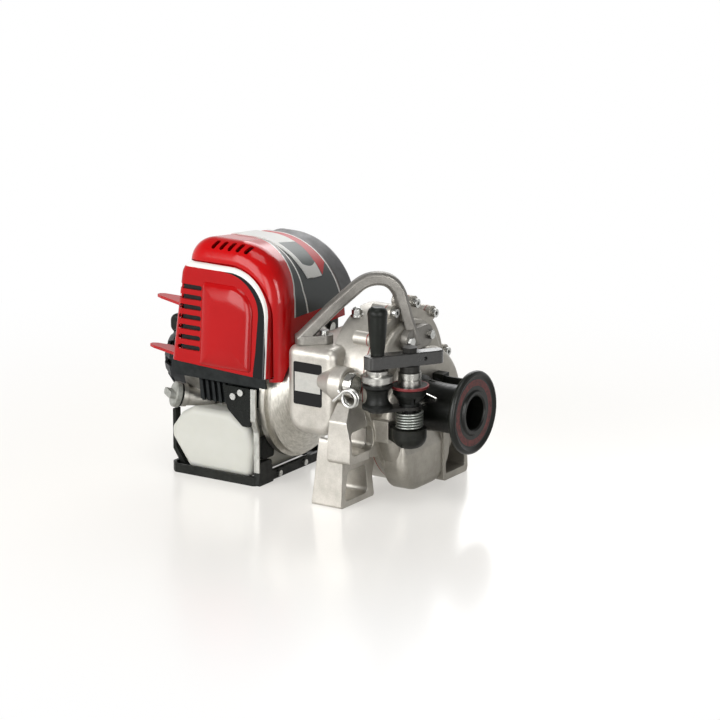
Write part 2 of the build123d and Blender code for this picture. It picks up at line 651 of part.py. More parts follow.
def rope_stop():
    """Slotted block and thin strip that keep the rope on the drum at the back."""
    body = block(COVER_FACE, COVER_FACE + 12, 30, 42, 100, 114)
    body -= block(COVER_FACE + 3, COVER_FACE + 9, 29, 43, 105, 109)
    return body + block(COVER_FACE + 12, COVER_FACE + 44, 33, 35.2, 101, 112)


# Engine: its places along X and the faces that others sit on
ENGINE_PTO = -27.0
ENGINE_BACK = -122.0
CASE_ROOF = 154.0
CYLINDER = (-70.0, -22.0)
EXHAUST_FACE = -62.0
PORT_HIGH = 168.0
PLUG_HIGH = 206.0
HOOD_LEFT = -109.0
HOOD_RIGHT = 6.0
HOOD_NEAR = -84.0
HOOD_FAR = 33.0
HOOD_LOW = 112.0
HOOD_SKIRT = 158.0
HOOD_FALL = 15.0
HOOD_WALL = 3.0
NEAR_SHOULDER = 52.0
FAR_SHOULDER = 78.0
CORNER_R = 26.0
BROW_R = 20.0
GUARD_FACE = -93.0
GUARD_BACK = -78.0
GUARD_LOW = 117.0
GUARD_LEAN = 0.0755
GUARD_WALL = 2.5
COWL_NEAR = 38.0
COWL_FAR = 64.0
COWL_LOW = 172.0
BELL = (-10.0, 88.0)
BELL_R = 69.0
BELL_BACK = -23.5
TRAY_HIGH = 9.0
TRAY_FLOOR = 4.0
TANK_LOW = 6.0
TANK_TOP = 70.0
CRANK_R = 8.0
OIL_END = Vector(-122, -74, 80)
OIL_WAY = Vector(-0.62, -0.75, 0.25).normalized()
FUEL_NECK = (14.0, 46.0)
GRIP_AXIS = (10.0, 133.0)
CARB = (-73.0, 54.0)


def engine_base():
    """Black moulded base: a shallow ribbed tray under the tank, two guard rails and a stout corner post."""
    plan = polygon((-134, -72), (-126, -80), (-27, -80), (-27, 56), (-134, 56))
    inside = polygon((-131, -71), (-125, -77), (-31, -77), (-31, 52), (-130, 52))
    window = polygon((-120, -62), (-42, -62), (-42, 40), (-120, 40))
    tray = along_z(rounded(plan, 5), 0, TRAY_HIGH)
    tray -= along_z(rounded(inside, 4), TRAY_FLOOR, TRAY_HIGH + 1)
    tray -= along_z(rounded(window, 6), -1, TRAY_HIGH)
    for x in (-104, -82, -60):
        tray += block(x - 2, x + 2, -79, 55, 0, TANK_LOW)
    rail = polygon((-138, 62), (-138, 20), (-125, 0), (-118, 0), (-134, 22), (-134, 62))
    tray += along_y(rounded(rail, 1.2), -66, -58) + along_y(rounded(rail, 1.2), 36, 50)
    post = polygon((-79, 0), (-52, 0), (-56, 24), (-75, 24))
    return tray + along_x(rounded(post, 2), -31, -24)


def fuel_tank():
    """White blow-moulded tank with a slanted shoulder and a filler neck at the back."""
    side = polygon((-112, TANK_LOW), (-36, TANK_LOW), (-32, 36), (-38, 56), (-62, TANK_TOP), (-108, TANK_TOP),
                   (-122, 62), (-133.6, 46), (-133.6, 36))
    tank = along_y(rounded(side, 8), -76, 36)
    tank = fillet(tank.edges().group_by(Axis.Y)[0] + tank.edges().group_by(Axis.Y)[-1], 7)
    return tank + rod_x(13, -138, -120, FUEL_NECK)


def fuel_cap():
    """Black ribbed filler cap at the back of the tank."""
    cap = rod_x(17, -151, -138.4, FUEL_NECK)
    cap = chamfer(cap.edges().group_by(Axis.X)[0], 2)
    for turn in range(0, 360, 20):
        y = FUEL_NECK[0] + 17.6 * cos(radians(turn))
        z = FUEL_NECK[1] + 17.6 * sin(radians(turn))
        cap -= rod_x(1.6, -148, -138, (y, z))
    return cap


def tank_strap():
    """Bent steel strip down the front corner of the tank."""
    side = polygon((-84, 102), (-82, 102), (-82, 70), (-76.6, 57), (-76.6, 14.2), (-78.6, 14.2), (-78.6, 56),
                   (-84, 69))
    return along_x(side, -30, -24)


def tank_pad():
    """Rubber pad between the tank and the base post."""
    pad = block(-31.2, -25, -70, -50, 26, 48)
    return fillet(pad.edges().filter_by(Axis.X), 3)


def crankcase():
    """Cast crankcase with a round nose towards the clutch, the oil filler neck and ledges for the hood."""
    case = rod_x(46, ENGINE_BACK, ENGINE_PTO, CRANK_AXIS)
    box = block(-116, -34, -56, 40, 78, CASE_ROOF)
    case += fillet(box.edges().filter_by(Axis.X), 12)
    neck = Plane(OIL_END - OIL_WAY * 34, z_dir=OIL_WAY) * Pos(0, 0, 17) * Cylinder(10, 34)
    collar = Plane(OIL_END - OIL_WAY * 5, z_dir=OIL_WAY) * Pos(0, 0, 2.5) * Cylinder(12.5, 5)
    case += neck + collar
    case += block(-115, -104, -30, 10, CASE_ROOF - 8, HOOD_SKIRT)
    case += block(-90, -44, 22, HOOD_FAR, CASE_ROOF - 12, HOOD_SKIRT)
    case -= block(-200, 0, -100, 100, 0, TANK_TOP)
    case -= rod_x(42.5, ENGINE_BACK - 20, ENGINE_BACK, CRANK_AXIS)
    return case - rod_x(CRANK_R + FIT, ENGINE_BACK - 1, ENGINE_PTO + 1, CRANK_AXIS)


def oil_ring():
    """Rubber sealing ring under the oil filler cap."""
    seat = Plane(OIL_END, z_dir=OIL_WAY)
    return seat * Pos(0, 0, 1) * (Cylinder(11.8, 2) - Cylinder(8, 3))


def oil_cap():
    """Grey oil filler cap with a bar grip across it."""
    seat = Plane(OIL_END + OIL_WAY * 2.4, z_dir=OIL_WAY)
    cap = Pos(0, 0, 3) * Cylinder(13.2, 6)
    cap = fillet(cap.edges().group_by(Axis.Z)[-1], 2)
    bar = along_z(SlotOverall(24.5, 7), 5, 12)
    return seat * (cap + bar)


def cylinder():
    """Finned air-cooled cylinder and head under the hood, with its exhaust and plug bosses."""
    barrel = rod_z(27, CASE_ROOF, 222, CYLINDER)
    for z in range(160, 220, 9):
        barrel += along_z(Pos(*CYLINDER) * RectangleRounded(66, 76, 12), z, z + 3)
    barrel += rod_y(11, EXHAUST_FACE, CYLINDER[1], CYLINDER[0], PORT_HIGH)
    return barrel + rod_y(8, EXHAUST_FACE, CYLINDER[1], CYLINDER[0], PLUG_HIGH)


def spark_plug():
    """Spark plug in the head, with its hexagon and white insulator."""
    plug = None
    for radius, start, end in ((6, 5, 0), (4, 13, 5), (2, 16, 13)):
        step = rod_y(radius, EXHAUST_FACE - start, EXHAUST_FACE - end, CYLINDER[0], PLUG_HIGH)
        plug = plug + step if plug else step
    return plug


def hood_arch(inset, drop, shoulder, low=0.0):
    """The hood seen from the muffler side: a small round corner at the left, a broad one at the right."""
    left = HOOD_LEFT + inset
    right = HOOD_RIGHT - inset
    top = HEIGHT - inset - drop
    bottom = HOOD_LOW - low
    arch = polygon((left - 4, bottom), (left, top), (right, top), (right, bottom))
    arch = fillet(arch.vertices().sort_by_distance((right, top))[0], shoulder - inset)
    return fillet(arch.vertices().sort_by_distance((left, top))[0], CORNER_R - inset)


def hood_body(inset=0.0, low=0.0):
    """The hood's outside, or its inside when drawn smaller: the arch falls and rounds off to the back."""
    near = Plane.XZ.offset(-HOOD_NEAR - inset) * hood_arch(inset, 0, NEAR_SHOULDER, low)
    far = Plane.XZ.offset(inset - HOOD_FAR) * hood_arch(inset, HOOD_FALL, FAR_SHOULDER, low)
    body = loft([near, far], ruled=True)
    edges = body.faces().sort_by(Axis.Y)[0].edges().filter_by(lambda edge: edge.center().Z > HOOD_LOW + 2)
    return fillet(edges, BROW_R - inset)


def top_cover():
    """Red moulded hood, open below and round the muffler guard, with five slanted vents on its brow."""
    hood = hood_body() - hood_body(HOOD_WALL, 10)
    hood -= block(HOOD_LEFT - 20, HOOD_RIGHT - 14, HOOD_NEAR - 1, HOOD_FAR + 1, HOOD_LOW - 1, HOOD_SKIRT)
    hood -= block(HOOD_LEFT - 20, HOOD_RIGHT + 1, HOOD_NEAR + 26, HOOD_FAR + 1, HOOD_LOW - 1, HOOD_SKIRT)
    hood -= rod_x(64, HOOD_RIGHT - 21, HOOD_RIGHT + 2, (-14, 93))
    hood -= along_y(offset(guard_outline(), 1.2), HOOD_NEAR - 20, HOOD_NEAR + 14)
    for vent in range(5):
        hole = SlotOverall(12, 4.4, rotation=90)
        seat = Pos(-75.6 + vent * 9.7, -76, 243) * Rot(42, 0, 0) * Rot(0, 0, -18)
        hood -= seat * extrude(hole, 9, both=True)
    return hood


def guard_outline():
    """The muffler guard seen from the front."""
    shape = polygon((-121, GUARD_LOW + 5), (-112, 224), (-5.5, 226), (-5, GUARD_LOW))
    shape = fillet(shape.vertices().sort_by_distance((-5.5, 226))[0], 48)
    return fillet(shape.vertices().sort_by_distance((-112, 224))[0], 16)


def lean_slab(front, back):
    """A slab that leans as the guard's face does, between two depths from that face."""
    def face_at(z):
        return GUARD_FACE + (z - GUARD_LOW) * GUARD_LEAN
    low, high = GUARD_LOW - 20, HEIGHT
    side = polygon((face_at(low) + front, low), (face_at(low) + back, low), (face_at(high) + back, high),
                   (face_at(high) + front, high))
    return along_x(side, -150, 20)


def guard_body(inset=0.0):
    """The guard's outside, or its inside when drawn smaller, with a rounded front edge."""
    outline = offset(guard_outline(), -inset) if inset else guard_outline()
    body = along_y(outline, GUARD_FACE - 9, GUARD_BACK) - lean_slab(-60, inset)
    front = body.faces().sort_by(Axis.Y)[0]
    edges = front.edges().filter_by(lambda edge: edge.center().Z > GUARD_LOW + 8 + inset)
    return fillet(edges, 7 - inset)


def muffler_guard():
    """Red muffler guard with a raised panel, seven slots round its left edge and two side fins."""
    guard = guard_body()
    inside = guard_body(GUARD_WALL)
    guard -= inside + Pos(0, 0, -8) * inside + Pos(0, 4, 0) * inside
    panel = polygon((-84, 125), (-41, 123), (-41, 203), (-84, 205))
    panel = fillet(panel.vertices().sort_by_distance((-41, 203))[0], 20)
    guard += along_y(panel, GUARD_FACE - 9, GUARD_BACK) & lean_slab(-1.5, 1)
    for slot in range(7):
        z = 198 - slot * 10.2
        guard -= along_y(Pos(-99, z) * SlotOverall(27, 5), GUARD_FACE - 6, GUARD_BACK - 1)
        guard -= block(-126, -108, GUARD_BACK - 8, GUARD_BACK - 2.5, z - 2.5, z + 2.5)
    for tip, root, z in ((-163, -118.4, 124), (-153, -114, 177)):
        fin = polygon((root, GUARD_BACK - 8), (root, GUARD_BACK), (root - 6, GUARD_BACK), (root - 8, -62.5),
                      (tip + 5, -62.5), (tip, -65), (tip, -69), (tip + 7, -73))
        guard += along_z(fin, z, z + 3)
    return guard


def muffler():
    """Dark steel exhaust box behind the guard, on its duct from the cylinder."""
    box = block(-100, -36, GUARD_BACK - 5, GUARD_BACK + 11, 126, 182)
    box = fillet(box.edges().filter_by(Axis.X), 6)
    duct = rod_y(9, GUARD_BACK + 11, EXHAUST_FACE, CYLINDER[0], PORT_HIGH)
    return box + duct + rod_x(6, -108, -100, (GUARD_BACK + 3, 136))


def heat_shield():
    """Charcoal folded shroud under the guard, stepped in towards the bottom, with upright ribs."""
    band = polygon((-92, 122), (-89.5, 122), (-86, 106), (-88.5, 106))
    fold = polygon((-88.5, 106), (-86, 108.4), (-73.8, 105.4), (-70.5, 80), (-73, 80), (-76, 103))
    shield = along_x(band, -118, -8) + along_x(fold, -118, -24.5)
    shield -= along_y(guard_outline(), GUARD_FACE - 9, GUARD_BACK)
    shield -= block(-125, -98, -95, -60, 78, 104)
    for x in (-92, -44):
        shield += block(x, x + 6, -72.4, -66.6, 90, 96)
    for x in range(-94, -60, 7):
        rib = polygon((-80, 102), (-75.5, 102), (-72.6, 80), (-76, 80))
        shield += along_x(rib, x, x + 3)
    return shield


def engine_bracket():
    """Black bracket between the shroud and the tank strap, with a pad against the shroud."""
    face = polygon((-64, 102), (-30, 102), (-30, 62), (-40, 62), (-58, 78))
    return along_y(rounded(face, 3), -84, -80.7) + block(-58, -36, -81, -74.6, 86, 92)


def recoil_housing():
    """Dark domed starter housing with radial vents and the rope outlet."""
    back = ENGINE_BACK
    dome = polygon((back, 0), (back, 42), (back - 24, 38), (back - 37, 28), (back - 42, 20), (back - 42, 0))
    shell = Pos(0, *CRANK_AXIS) * revolve(Plane.XY * dome, Axis.X)
    inner = polygon((back + 1, 0), (back + 1, 39), (back - 23, 35), (back - 35.5, 26), (back - 39, 19),
                    (back - 39, 0))
    shell -= Pos(0, *CRANK_AXIS) * revolve(Plane.XY * inner, Axis.X)
    shell += rod_x(6, back - 40, back - 27, CRANK_AXIS)
    for turn in range(0, 360, 30):
        slot = Pos(back - 31, 0, 33) * Box(20, 7, 22)
        shell -= Pos(0, *CRANK_AXIS) * Rot(turn, 0, 0) * slot
    outlet = rod_x(7, back - 40, back, GRIP_AXIS) - rod_x(3, back - 41, back - 10, GRIP_AXIS)
    return shell + (outlet - Pos(0, *CRANK_AXIS) * revolve(Plane.XY * inner, Axis.X))


def recoil_pulley():
    """Grooved starter pulley on the post inside its housing."""
    pulley = rod_x(21, -158, -151, CRANK_AXIS)
    pulley -= rod_x(22, -156.5, -152.5, CRANK_AXIS) - rod_x(17, -158, -152, CRANK_AXIS)
    return pulley - rod_x(6 + FIT, -160, -150, CRANK_AXIS)


def starter_grip():
    """Moulded starter grip at the rope outlet."""
    back = ENGINE_BACK - 40.4
    body = rod_x(6, back - 8, back, GRIP_AXIS)
    y, z = GRIP_AXIS
    bar = along_y(Pos(back - 11.6, z) * SlotOverall(20, 15, rotation=90), y - 20, y + 20)
    return body + fillet(bar.edges().group_by(Axis.Y)[0] + bar.edges().group_by(Axis.Y)[-1], 4)


def crankshaft():
    """Crankshaft, from the flywheel end to the clutch end."""
    return rod_x(CRANK_R, -148, -10, CRANK_AXIS)


def flywheel_fan():
    """Flywheel with cooling fan blades."""
    wheel = rod_x(18, -147, ENGINE_BACK - 1.5, CRANK_AXIS) + rod_x(34, -130, ENGINE_BACK - 1.5, CRANK_AXIS)
    for turn in range(0, 360, 30):
        blade = Pos(-137, 0, 25) * Rot(0, 0, 20) * Box(15, 2, 15)
        wheel += Pos(0, *CRANK_AXIS) * Rot(turn, 0, 0) * blade
    return wheel - rod_x(CRANK_R, -150, ENGINE_BACK, CRANK_AXIS)


def clutch_shoes():
    """Two centrifugal shoes on their carrier at the clutch end of the crankshaft."""
    shoes = rod_x(33, -20, -11, CRANK_AXIS) - rod_x(22, -21, -10, CRANK_AXIS)
    y, z = CRANK_AXIS
    shoes -= block(-22, -9, y - 40, y + 40, z - 2, z + 2)
    carrier = rod_x(15, -20, -11, CRANK_AXIS) + block(-19, -12, y - 4, y + 4, z - 24, z + 24)
    return shoes + carrier - rod_x(CRANK_R, -22, -9, CRANK_AXIS)


def clutch_drum():
    """Clutch drum with its pinion shaft."""
    cup = rod_x(39, -22, -3, CRANK_AXIS) - rod_x(35.5, -23, -6, CRANK_AXIS)
    shaft = rod_x(4, -6, FIRST_PLANE[1] + 1, CRANK_AXIS)
    turn = facing(CRANK_AXIS, IDLER_AXIS)
    return cup + shaft + gear(FIRST_PINION_TEETH, FIRST_MODULE, turn, *FIRST_PLANE, CRANK_AXIS)


def bell_housing():
    """Cast bell between engine and gearbox: a wide stepped rim that draws in to the gearbox."""
    step = BELL_BACK + 12.5
    rim = rod_x(BELL_R, BELL_BACK, BELL_BACK + 6.5, BELL) + rod_x(BELL_R - 4, BELL_BACK, step, BELL)
    wide = Plane.YZ.offset(step) * Pos(*BELL) * Circle(BELL_R - 4)
    narrow = Plane.YZ.offset(BLOCK_BACK) * Pos(-22, 104) * Circle(46)
    bell = rim + loft([wide, narrow], ruled=True) + rod_x(46, ENGINE_PTO, BELL_BACK, CRANK_AXIS)
    bell -= rod_x(42, ENGINE_PTO - 1, -1.5, CRANK_AXIS)
    return bell - rod_x(10, -2, BLOCK_BACK + 1, CRANK_AXIS)


def carburettor():
    """Carburettor on its spacer at the hidden side of the crankcase."""
    x, y = CARB
    body = block(x - 16, x + 16, 46, 64, 116, 148) + block(x - 20, x + 20, 40, 46, 112, 148)
    return body + rod_z(10, 108, 116, (x, y)) + rod_z(4, 148, 150, (x, y))


def throttle_lever():
    """Throttle lever on top of the carburettor."""
    x, y = CARB
    lever = along_z(Pos(x + 8, y) * SlotOverall(26, 8), 150.4, 152.4)
    return lever + rod_z(5, 150.4, 155, (x, y))


def air_cleaner():
    """Black ribbed air cleaner cover at the hidden side."""
    side = polygon((64, 104), (98, 104), (98, 182), (87, 182), (87, 148), (64, 148))
    cover = along_x(side, -112, -42)
    cover = fillet(cover.edges().filter_by(Axis.Z).sort_by(Axis.Y)[-2:], 6)
    for z in range(118, 168, 10):
        cover -= block(-100, -54, 96.5, 99, z, z + 3)
    return cover


def choke_lever():
    """Choke lever on the end of the air cleaner."""
    lever = along_x(Pos(76, 122) * SlotOverall(26, 9, rotation=60), -41.6, -39.4)
    return lever


def rear_cowl():
    """Grey moulded cowl that carries the hood's arch on over the carburettor, on two tabs from the hood."""
    outer = along_y(hood_arch(HOOD_WALL, HOOD_FALL, FAR_SHOULDER), COWL_NEAR, COWL_FAR)
    rim = outer.edges().group_by(Axis.Y)[-1].filter_by(lambda edge: edge.center().Z > HOOD_LOW + 2)
    outer = fillet(rim, 8)
    inner = hood_arch(2 * HOOD_WALL, HOOD_FALL, FAR_SHOULDER, 10)
    cowl = outer - along_y(inner, COWL_NEAR - 1, COWL_FAR - HOOD_WALL)
    cowl -= block(HOOD_LEFT - 20, HOOD_RIGHT + 5, COWL_NEAR - 1, COWL_FAR + 1, HOOD_LOW - 20, COWL_LOW)
    for x in range(-88, -36, 16):
        cowl -= along_y(Pos(x, 200) * SlotOverall(34, 5, rotation=75), COWL_FAR - 6, COWL_FAR + 1)
    cowl += block(HOOD_LEFT + 2, HOOD_LEFT + 5, HOOD_FAR, COWL_NEAR + 8, COWL_LOW + 4, COWL_LOW + 14)
    tab = block(HOOD_RIGHT - 8.5, HOOD_RIGHT - 5, HOOD_FAR, COWL_NEAR + 8, COWL_LOW + 2, COWL_LOW + 10)
    return cowl + tab


def engine_screws():
    """Pan-head screws on the bracket and along the base."""
    screws = [rod_y(3.4, -86.4, -84, x, z) for x, z in ((-50, 92), (-41, 97))]
    screws += [rod_x(3, -27, -24.6, (y, TRAY_HIGH / 2)) for y in (-38, 8)]
    return Compound(children=screws)


PARTS = (
    gear_case, case_gasket, case_cover, case_screws, idler_gear, main_gear, drum_shaft, shaft_bearings,
    shaft_seal, drum, drum_flange, drum_bolts, carry_handle, handle_bolts, bearing_sleeve, rope_eye,
    press_bracket, pivot_post, lever_bar, link_plate, spring_cone, guide_disc, disc_ring, lever_spring,
    roller_pin, guide_roller, roller_ring, knob, rope_stripper, rope_stop, engine_base, fuel_tank,
    fuel_cap, tank_strap, tank_pad, crankcase, oil_ring, oil_cap, cylinder, spark_plug, top_cover,
    muffler_guard, muffler, heat_shield, engine_bracket, recoil_housing, recoil_pulley, starter_grip,
    crankshaft, flywheel_fan, clutch_shoes, clutch_drum, bell_housing, carburettor, throttle_lever,
    air_cleaner, choke_lever, rear_cowl, engine_screws,
)

os.makedirs("parts", exist_ok=True)
for part in PARTS:
    export_step(part(), f"parts/{part.__name__}.step")
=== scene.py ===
"""Looks of the forestry winch: studio, finishes of every piece and the thin trim that the solids leave out."""
import math

import bmesh
import bpy
from mathutils import Matrix, Vector


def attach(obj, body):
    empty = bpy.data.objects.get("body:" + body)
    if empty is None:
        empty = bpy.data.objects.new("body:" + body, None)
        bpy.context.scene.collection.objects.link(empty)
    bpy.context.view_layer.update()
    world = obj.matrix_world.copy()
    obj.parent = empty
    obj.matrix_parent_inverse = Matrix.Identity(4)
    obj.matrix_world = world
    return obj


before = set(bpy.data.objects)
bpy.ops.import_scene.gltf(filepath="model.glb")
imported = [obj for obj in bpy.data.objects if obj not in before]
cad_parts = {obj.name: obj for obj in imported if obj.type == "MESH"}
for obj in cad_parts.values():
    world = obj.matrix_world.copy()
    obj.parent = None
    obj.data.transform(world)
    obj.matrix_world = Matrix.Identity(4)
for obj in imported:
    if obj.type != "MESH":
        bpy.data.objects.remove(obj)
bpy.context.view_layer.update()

# Camera. It stands low, towards the drum's free end, with a long lens that keeps the winch's edges
# nearly parallel. All distances of the studio are in metres.
CAMERA_AZIMUTH = math.radians(33)
CAMERA_ELEVATION = math.radians(15)
CAMERA_TARGET = Vector((0.0456, 0.0, 0.1243))
CAMERA_LENS = 200.0
CAMERA_FAR = 50.0
SENSOR = 36.0
FRAME_WIDTH = 0.72


def heading(azimuth, elevation):
    """The direction of a place seen from the object; azimuth 0 is the muffler side."""
    flat = math.cos(elevation)
    return Vector((math.sin(azimuth) * flat, -math.cos(azimuth) * flat, math.sin(elevation)))


def aim(thing, direction, distance, target):
    """Stands a lamp or camera off a target and turns it to look there."""
    thing.location = target + direction * distance
    thing.rotation_euler = (-direction).to_track_quat("-Z", "Y").to_euler()
    bpy.context.scene.collection.objects.link(thing)


camera_data = bpy.data.cameras.new("camera")
camera_data.lens = CAMERA_LENS
camera_data.sensor_width = SENSOR
camera_data.clip_end = CAMERA_FAR
camera = bpy.data.objects.new("camera", camera_data)
aim(camera, heading(CAMERA_AZIMUTH, CAMERA_ELEVATION), FRAME_WIDTH * CAMERA_LENS / SENSOR, CAMERA_TARGET)
bpy.context.scene.camera = camera
bpy.context.scene.view_settings.view_transform = "Standard"

# Lamps. Broad soft boxes at the muffler side, overhead and behind light the winch evenly, and two narrow
# strips show only as highlights on round corners. A row holds the name, the azimuth and elevation in
# degrees, the distance, width and height, and the power in watts.
LAMPS = (
    ("key_box", -18, 20, 2.2, 1.3, 1.3, 38.0),
    ("top_box", 20, 78, 2.0, 1.0, 1.0, 13.0),
    ("edge_strip", 57, 14, 0.95, 0.18, 0.68, 5.0),
    ("guard_strip", 9, 9, 0.95, 0.26, 0.56, 3.2),
    ("back_box", 200, 32, 2.4, 1.4, 1.4, 22.0),
)
for lamp_name, azimuth, elevation, distance, width, height, power in LAMPS:
    lamp_data = bpy.data.lights.new(lamp_name, "AREA")
    lamp_data.shape = "RECTANGLE"
    lamp_data.size = width
    lamp_data.size_y = height
    lamp_data.energy = power
    lamp = bpy.data.objects.new(lamp_name, lamp_data)
    lamp.visible_camera = False
    lamp.visible_diffuse = not lamp_name.endswith("strip")
    aim(lamp, heading(math.radians(azimuth), math.radians(elevation)), distance, CAMERA_TARGET)

# Room. White walls for what the camera and the shiny pieces see. In reflections it dims towards the
# ceiling, so that upward faces keep their colour, and as light on the winch it is only a faint fill.
ROOM_LIGHT = 0.14
CEILING_LIGHT = 0.3
WALL_TOP = 0.08
CEILING_EDGE = 0.6


def linear(colour):
    """Linear RGBA of an sRGB hex colour."""
    shares = [int(colour[i:i + 2], 16) / 255 for i in (1, 3, 5)]
    return [s / 12.92 if s <= 0.04045 else ((s + 0.055) / 1.055) ** 2.4 for s in shares] + [1.0]


def add(tree, kind, inputs=None, **settings):
    """Adds a node; an input is a value or the socket that feeds it."""
    node = tree.nodes.new("ShaderNode" + kind)
    for name, value in settings.items():
        setattr(node, name, value)
    for name, value in (inputs or {}).items():
        if isinstance(value, bpy.types.NodeSocket):
            tree.links.new(value, node.inputs[name])
        else:
            node.inputs[name].default_value = value
    return node


room = bpy.data.worlds.new("white_room")
room.use_nodes = True
bpy.context.scene.world = room
tree = room.node_tree
rays = add(tree, "LightPath").outputs
mirrored = add(tree, "Math", {0: rays["Is Glossy Ray"], 1: rays["Is Transmission Ray"]}, operation="MAXIMUM")
around = add(tree, "TexCoord").outputs["Generated"]
upward = add(tree, "SeparateXYZ", {"Vector": around}).outputs["Z"]
walls = add(tree, "MapRange", {"Value": upward, "From Min": WALL_TOP, "From Max": CEILING_EDGE,
                               "To Min": 1.0, "To Max": CEILING_LIGHT})
level = add(tree, "MapRange", {"Value": mirrored.outputs[0], "To Min": ROOM_LIGHT, "To Max": walls.outputs[0]})
level = add(tree, "Math", {0: level.outputs[0], 1: rays["Is Camera Ray"]}, operation="MAXIMUM")
tree.links.new(level.outputs[0], tree.nodes["Background"].inputs["Strength"])
tree.nodes["Background"].inputs["Color"].default_value = linear("#ffffff")

# Floor. A polished pale sheet under the winch. Far from it the sheet fades to the room's white for what
# the camera and the shiny pieces see, so no horizon shows, and near it the shadow stays.
FLOOR_HALF = 8.0
FADE_START = 0.2
FADE_END = 0.8
NEAR_GLOW = 0.47


def new_material(name):
    """A material, its node tree, its surface shader's sockets and the piece's own coordinates."""
    material = bpy.data.materials.new(name)
    material.use_nodes = True
    tree = material.node_tree
    place = add(tree, "TexCoord").outputs["Object"]
    return material, tree, tree.nodes["Principled BSDF"].inputs, place


floor_mesh = bmesh.new()
bmesh.ops.create_grid(floor_mesh, x_segments=1, y_segments=1, size=FLOOR_HALF)
floor_data = bpy.data.meshes.new("floor")
floor_mesh.to_mesh(floor_data)
floor_mesh.free()
floor = bpy.data.objects.new("floor", floor_data)
bpy.context.scene.collection.objects.link(floor)
floor_material, tree, surface, place = new_material("pale_polished_floor")
surface["Base Color"].default_value = linear("#bdbbb7")
surface["Roughness"].default_value = 0.2
surface["Specular IOR Level"].default_value = 0.4
surface["Emission Color"].default_value = linear("#fffdf9")
rays = add(tree, "LightPath").outputs
seen = add(tree, "Math", {0: rays["Is Camera Ray"], 1: rays["Is Glossy Ray"]}, operation="MAXIMUM")
seen = add(tree, "Math", {0: seen.outputs[0], 1: rays["Is Transmission Ray"]}, operation="MAXIMUM")
away = add(tree, "VectorMath", {0: place}, operation="LENGTH")
fade = add(tree, "MapRange", {"Value": away.outputs["Value"], "From Min": FADE_START, "From Max": FADE_END},
           interpolation_type="SMOOTHSTEP")
share = add(tree, "Math", {0: fade.outputs["Result"], 1: seen.outputs[0]}, operation="MULTIPLY")
glow = add(tree, "Math", {0: seen.outputs[0], 1: NEAR_GLOW}, operation="MULTIPLY")
tree.links.new(glow.outputs[0], surface["Emission Strength"])
sheet = tree.nodes["Principled BSDF"].outputs[0]
white = add(tree, "Emission", {"Color": linear("#ffffff"), "Strength": 1.0})
both = add(tree, "MixShader", {0: share.outputs[0], 1: sheet, 2: white.outputs[0]})
tree.links.new(both.outputs[0], tree.nodes["Material Output"].inputs["Surface"])
floor_data.materials.append(floor_material)

# Gear case and its front cover. Sand-cast aluminium, shot-blasted and left bare: a dull pale grey with a
# fine grain, faint darker clouds where the mould was rough, and edges worn soft. The cover is a shade
# darker than the case: painted shade for its face towards the drum, which the key light misses.
# Sizes from here on are in millimetres.
MM = 0.001
NOISE_LOW, NOISE_HIGH = 0.3, 0.7  # nearly all that a noise texture gives lies between these
CLOUD_SIZE = 26.0
BLAST_DEPTH = 0.12
WORN_EDGE = 1.4


def dress(material, *names):
    """Gives CAD nodes a finish."""
    for name in names:
        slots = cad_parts[name].data.materials
        slots.clear()
        slots.append(material)


def blasted_aluminium(name, pale, dull, grain_mm, roughness):
    """Bare cast aluminium: a blasted grain over soft clouds of two greys. The real grain is a few tenths
    of a millimetre wide, too fine to show, so it is drawn about a millimetre wide."""
    material, tree, surface, place = new_material(name)
    clouds = add(tree, "TexNoise", {"Vector": place, "Scale": 1 / (CLOUD_SIZE * MM), "Detail": 6,
                                    "Roughness": 0.65})
    grain = add(tree, "TexNoise", {"Vector": place, "Scale": 1 / (grain_mm * MM), "Detail": 3})
    spread = add(tree, "MapRange", {"Value": clouds.outputs["Fac"], "From Min": NOISE_LOW,
                                    "From Max": NOISE_HIGH})
    mottle = add(tree, "MapRange", {"Value": grain.outputs["Fac"], "From Min": 0.35, "From Max": 0.65,
                                    "To Min": -0.14, "To Max": 0.14})
    both = add(tree, "Math", {0: spread.outputs["Result"], 1: mottle.outputs["Result"]}, operation="ADD",
               use_clamp=True)
    mixed = add(tree, "Mix", {0: both.outputs[0], "A": linear(dull), "B": linear(pale)}, data_type="RGBA")
    tree.links.new(mixed.outputs["Result"], surface["Base Color"])
    rough = add(tree, "MapRange", {"Value": grain.outputs["Fac"], "From Min": NOISE_LOW, "From Max": NOISE_HIGH,
                                   "To Min": roughness - 0.08, "To Max": roughness + 0.1})
    tree.links.new(rough.outputs["Result"], surface["Roughness"])
    worn = add(tree, "Bevel", {"Radius": WORN_EDGE * MM}, samples=4)
    bump = add(tree, "Bump", {"Height": grain.outputs["Fac"], "Strength": 0.4, "Distance": BLAST_DEPTH * MM,
                              "Normal": worn.outputs["Normal"]})
    tree.links.new(bump.outputs["Normal"], surface["Normal"])
    surface["Metallic"].default_value = 0.6
    surface["Specular IOR Level"].default_value = 0.3
    return material


cast_aluminium = blasted_aluminium("shot_blasted_cast_aluminium", "#cac6be", "#a8a49c", 1.2, 0.4)
dress(cast_aluminium, "gear_case")
# The cover's greys, darker than the case's, are painted shade.
shaded_cover_aluminium = blasted_aluminium("sand_cast_cover_aluminium_shaded", "#b3afa6", "#938f86", 1.2, 0.42)
dress(shaded_cover_aluminium, "case_cover")

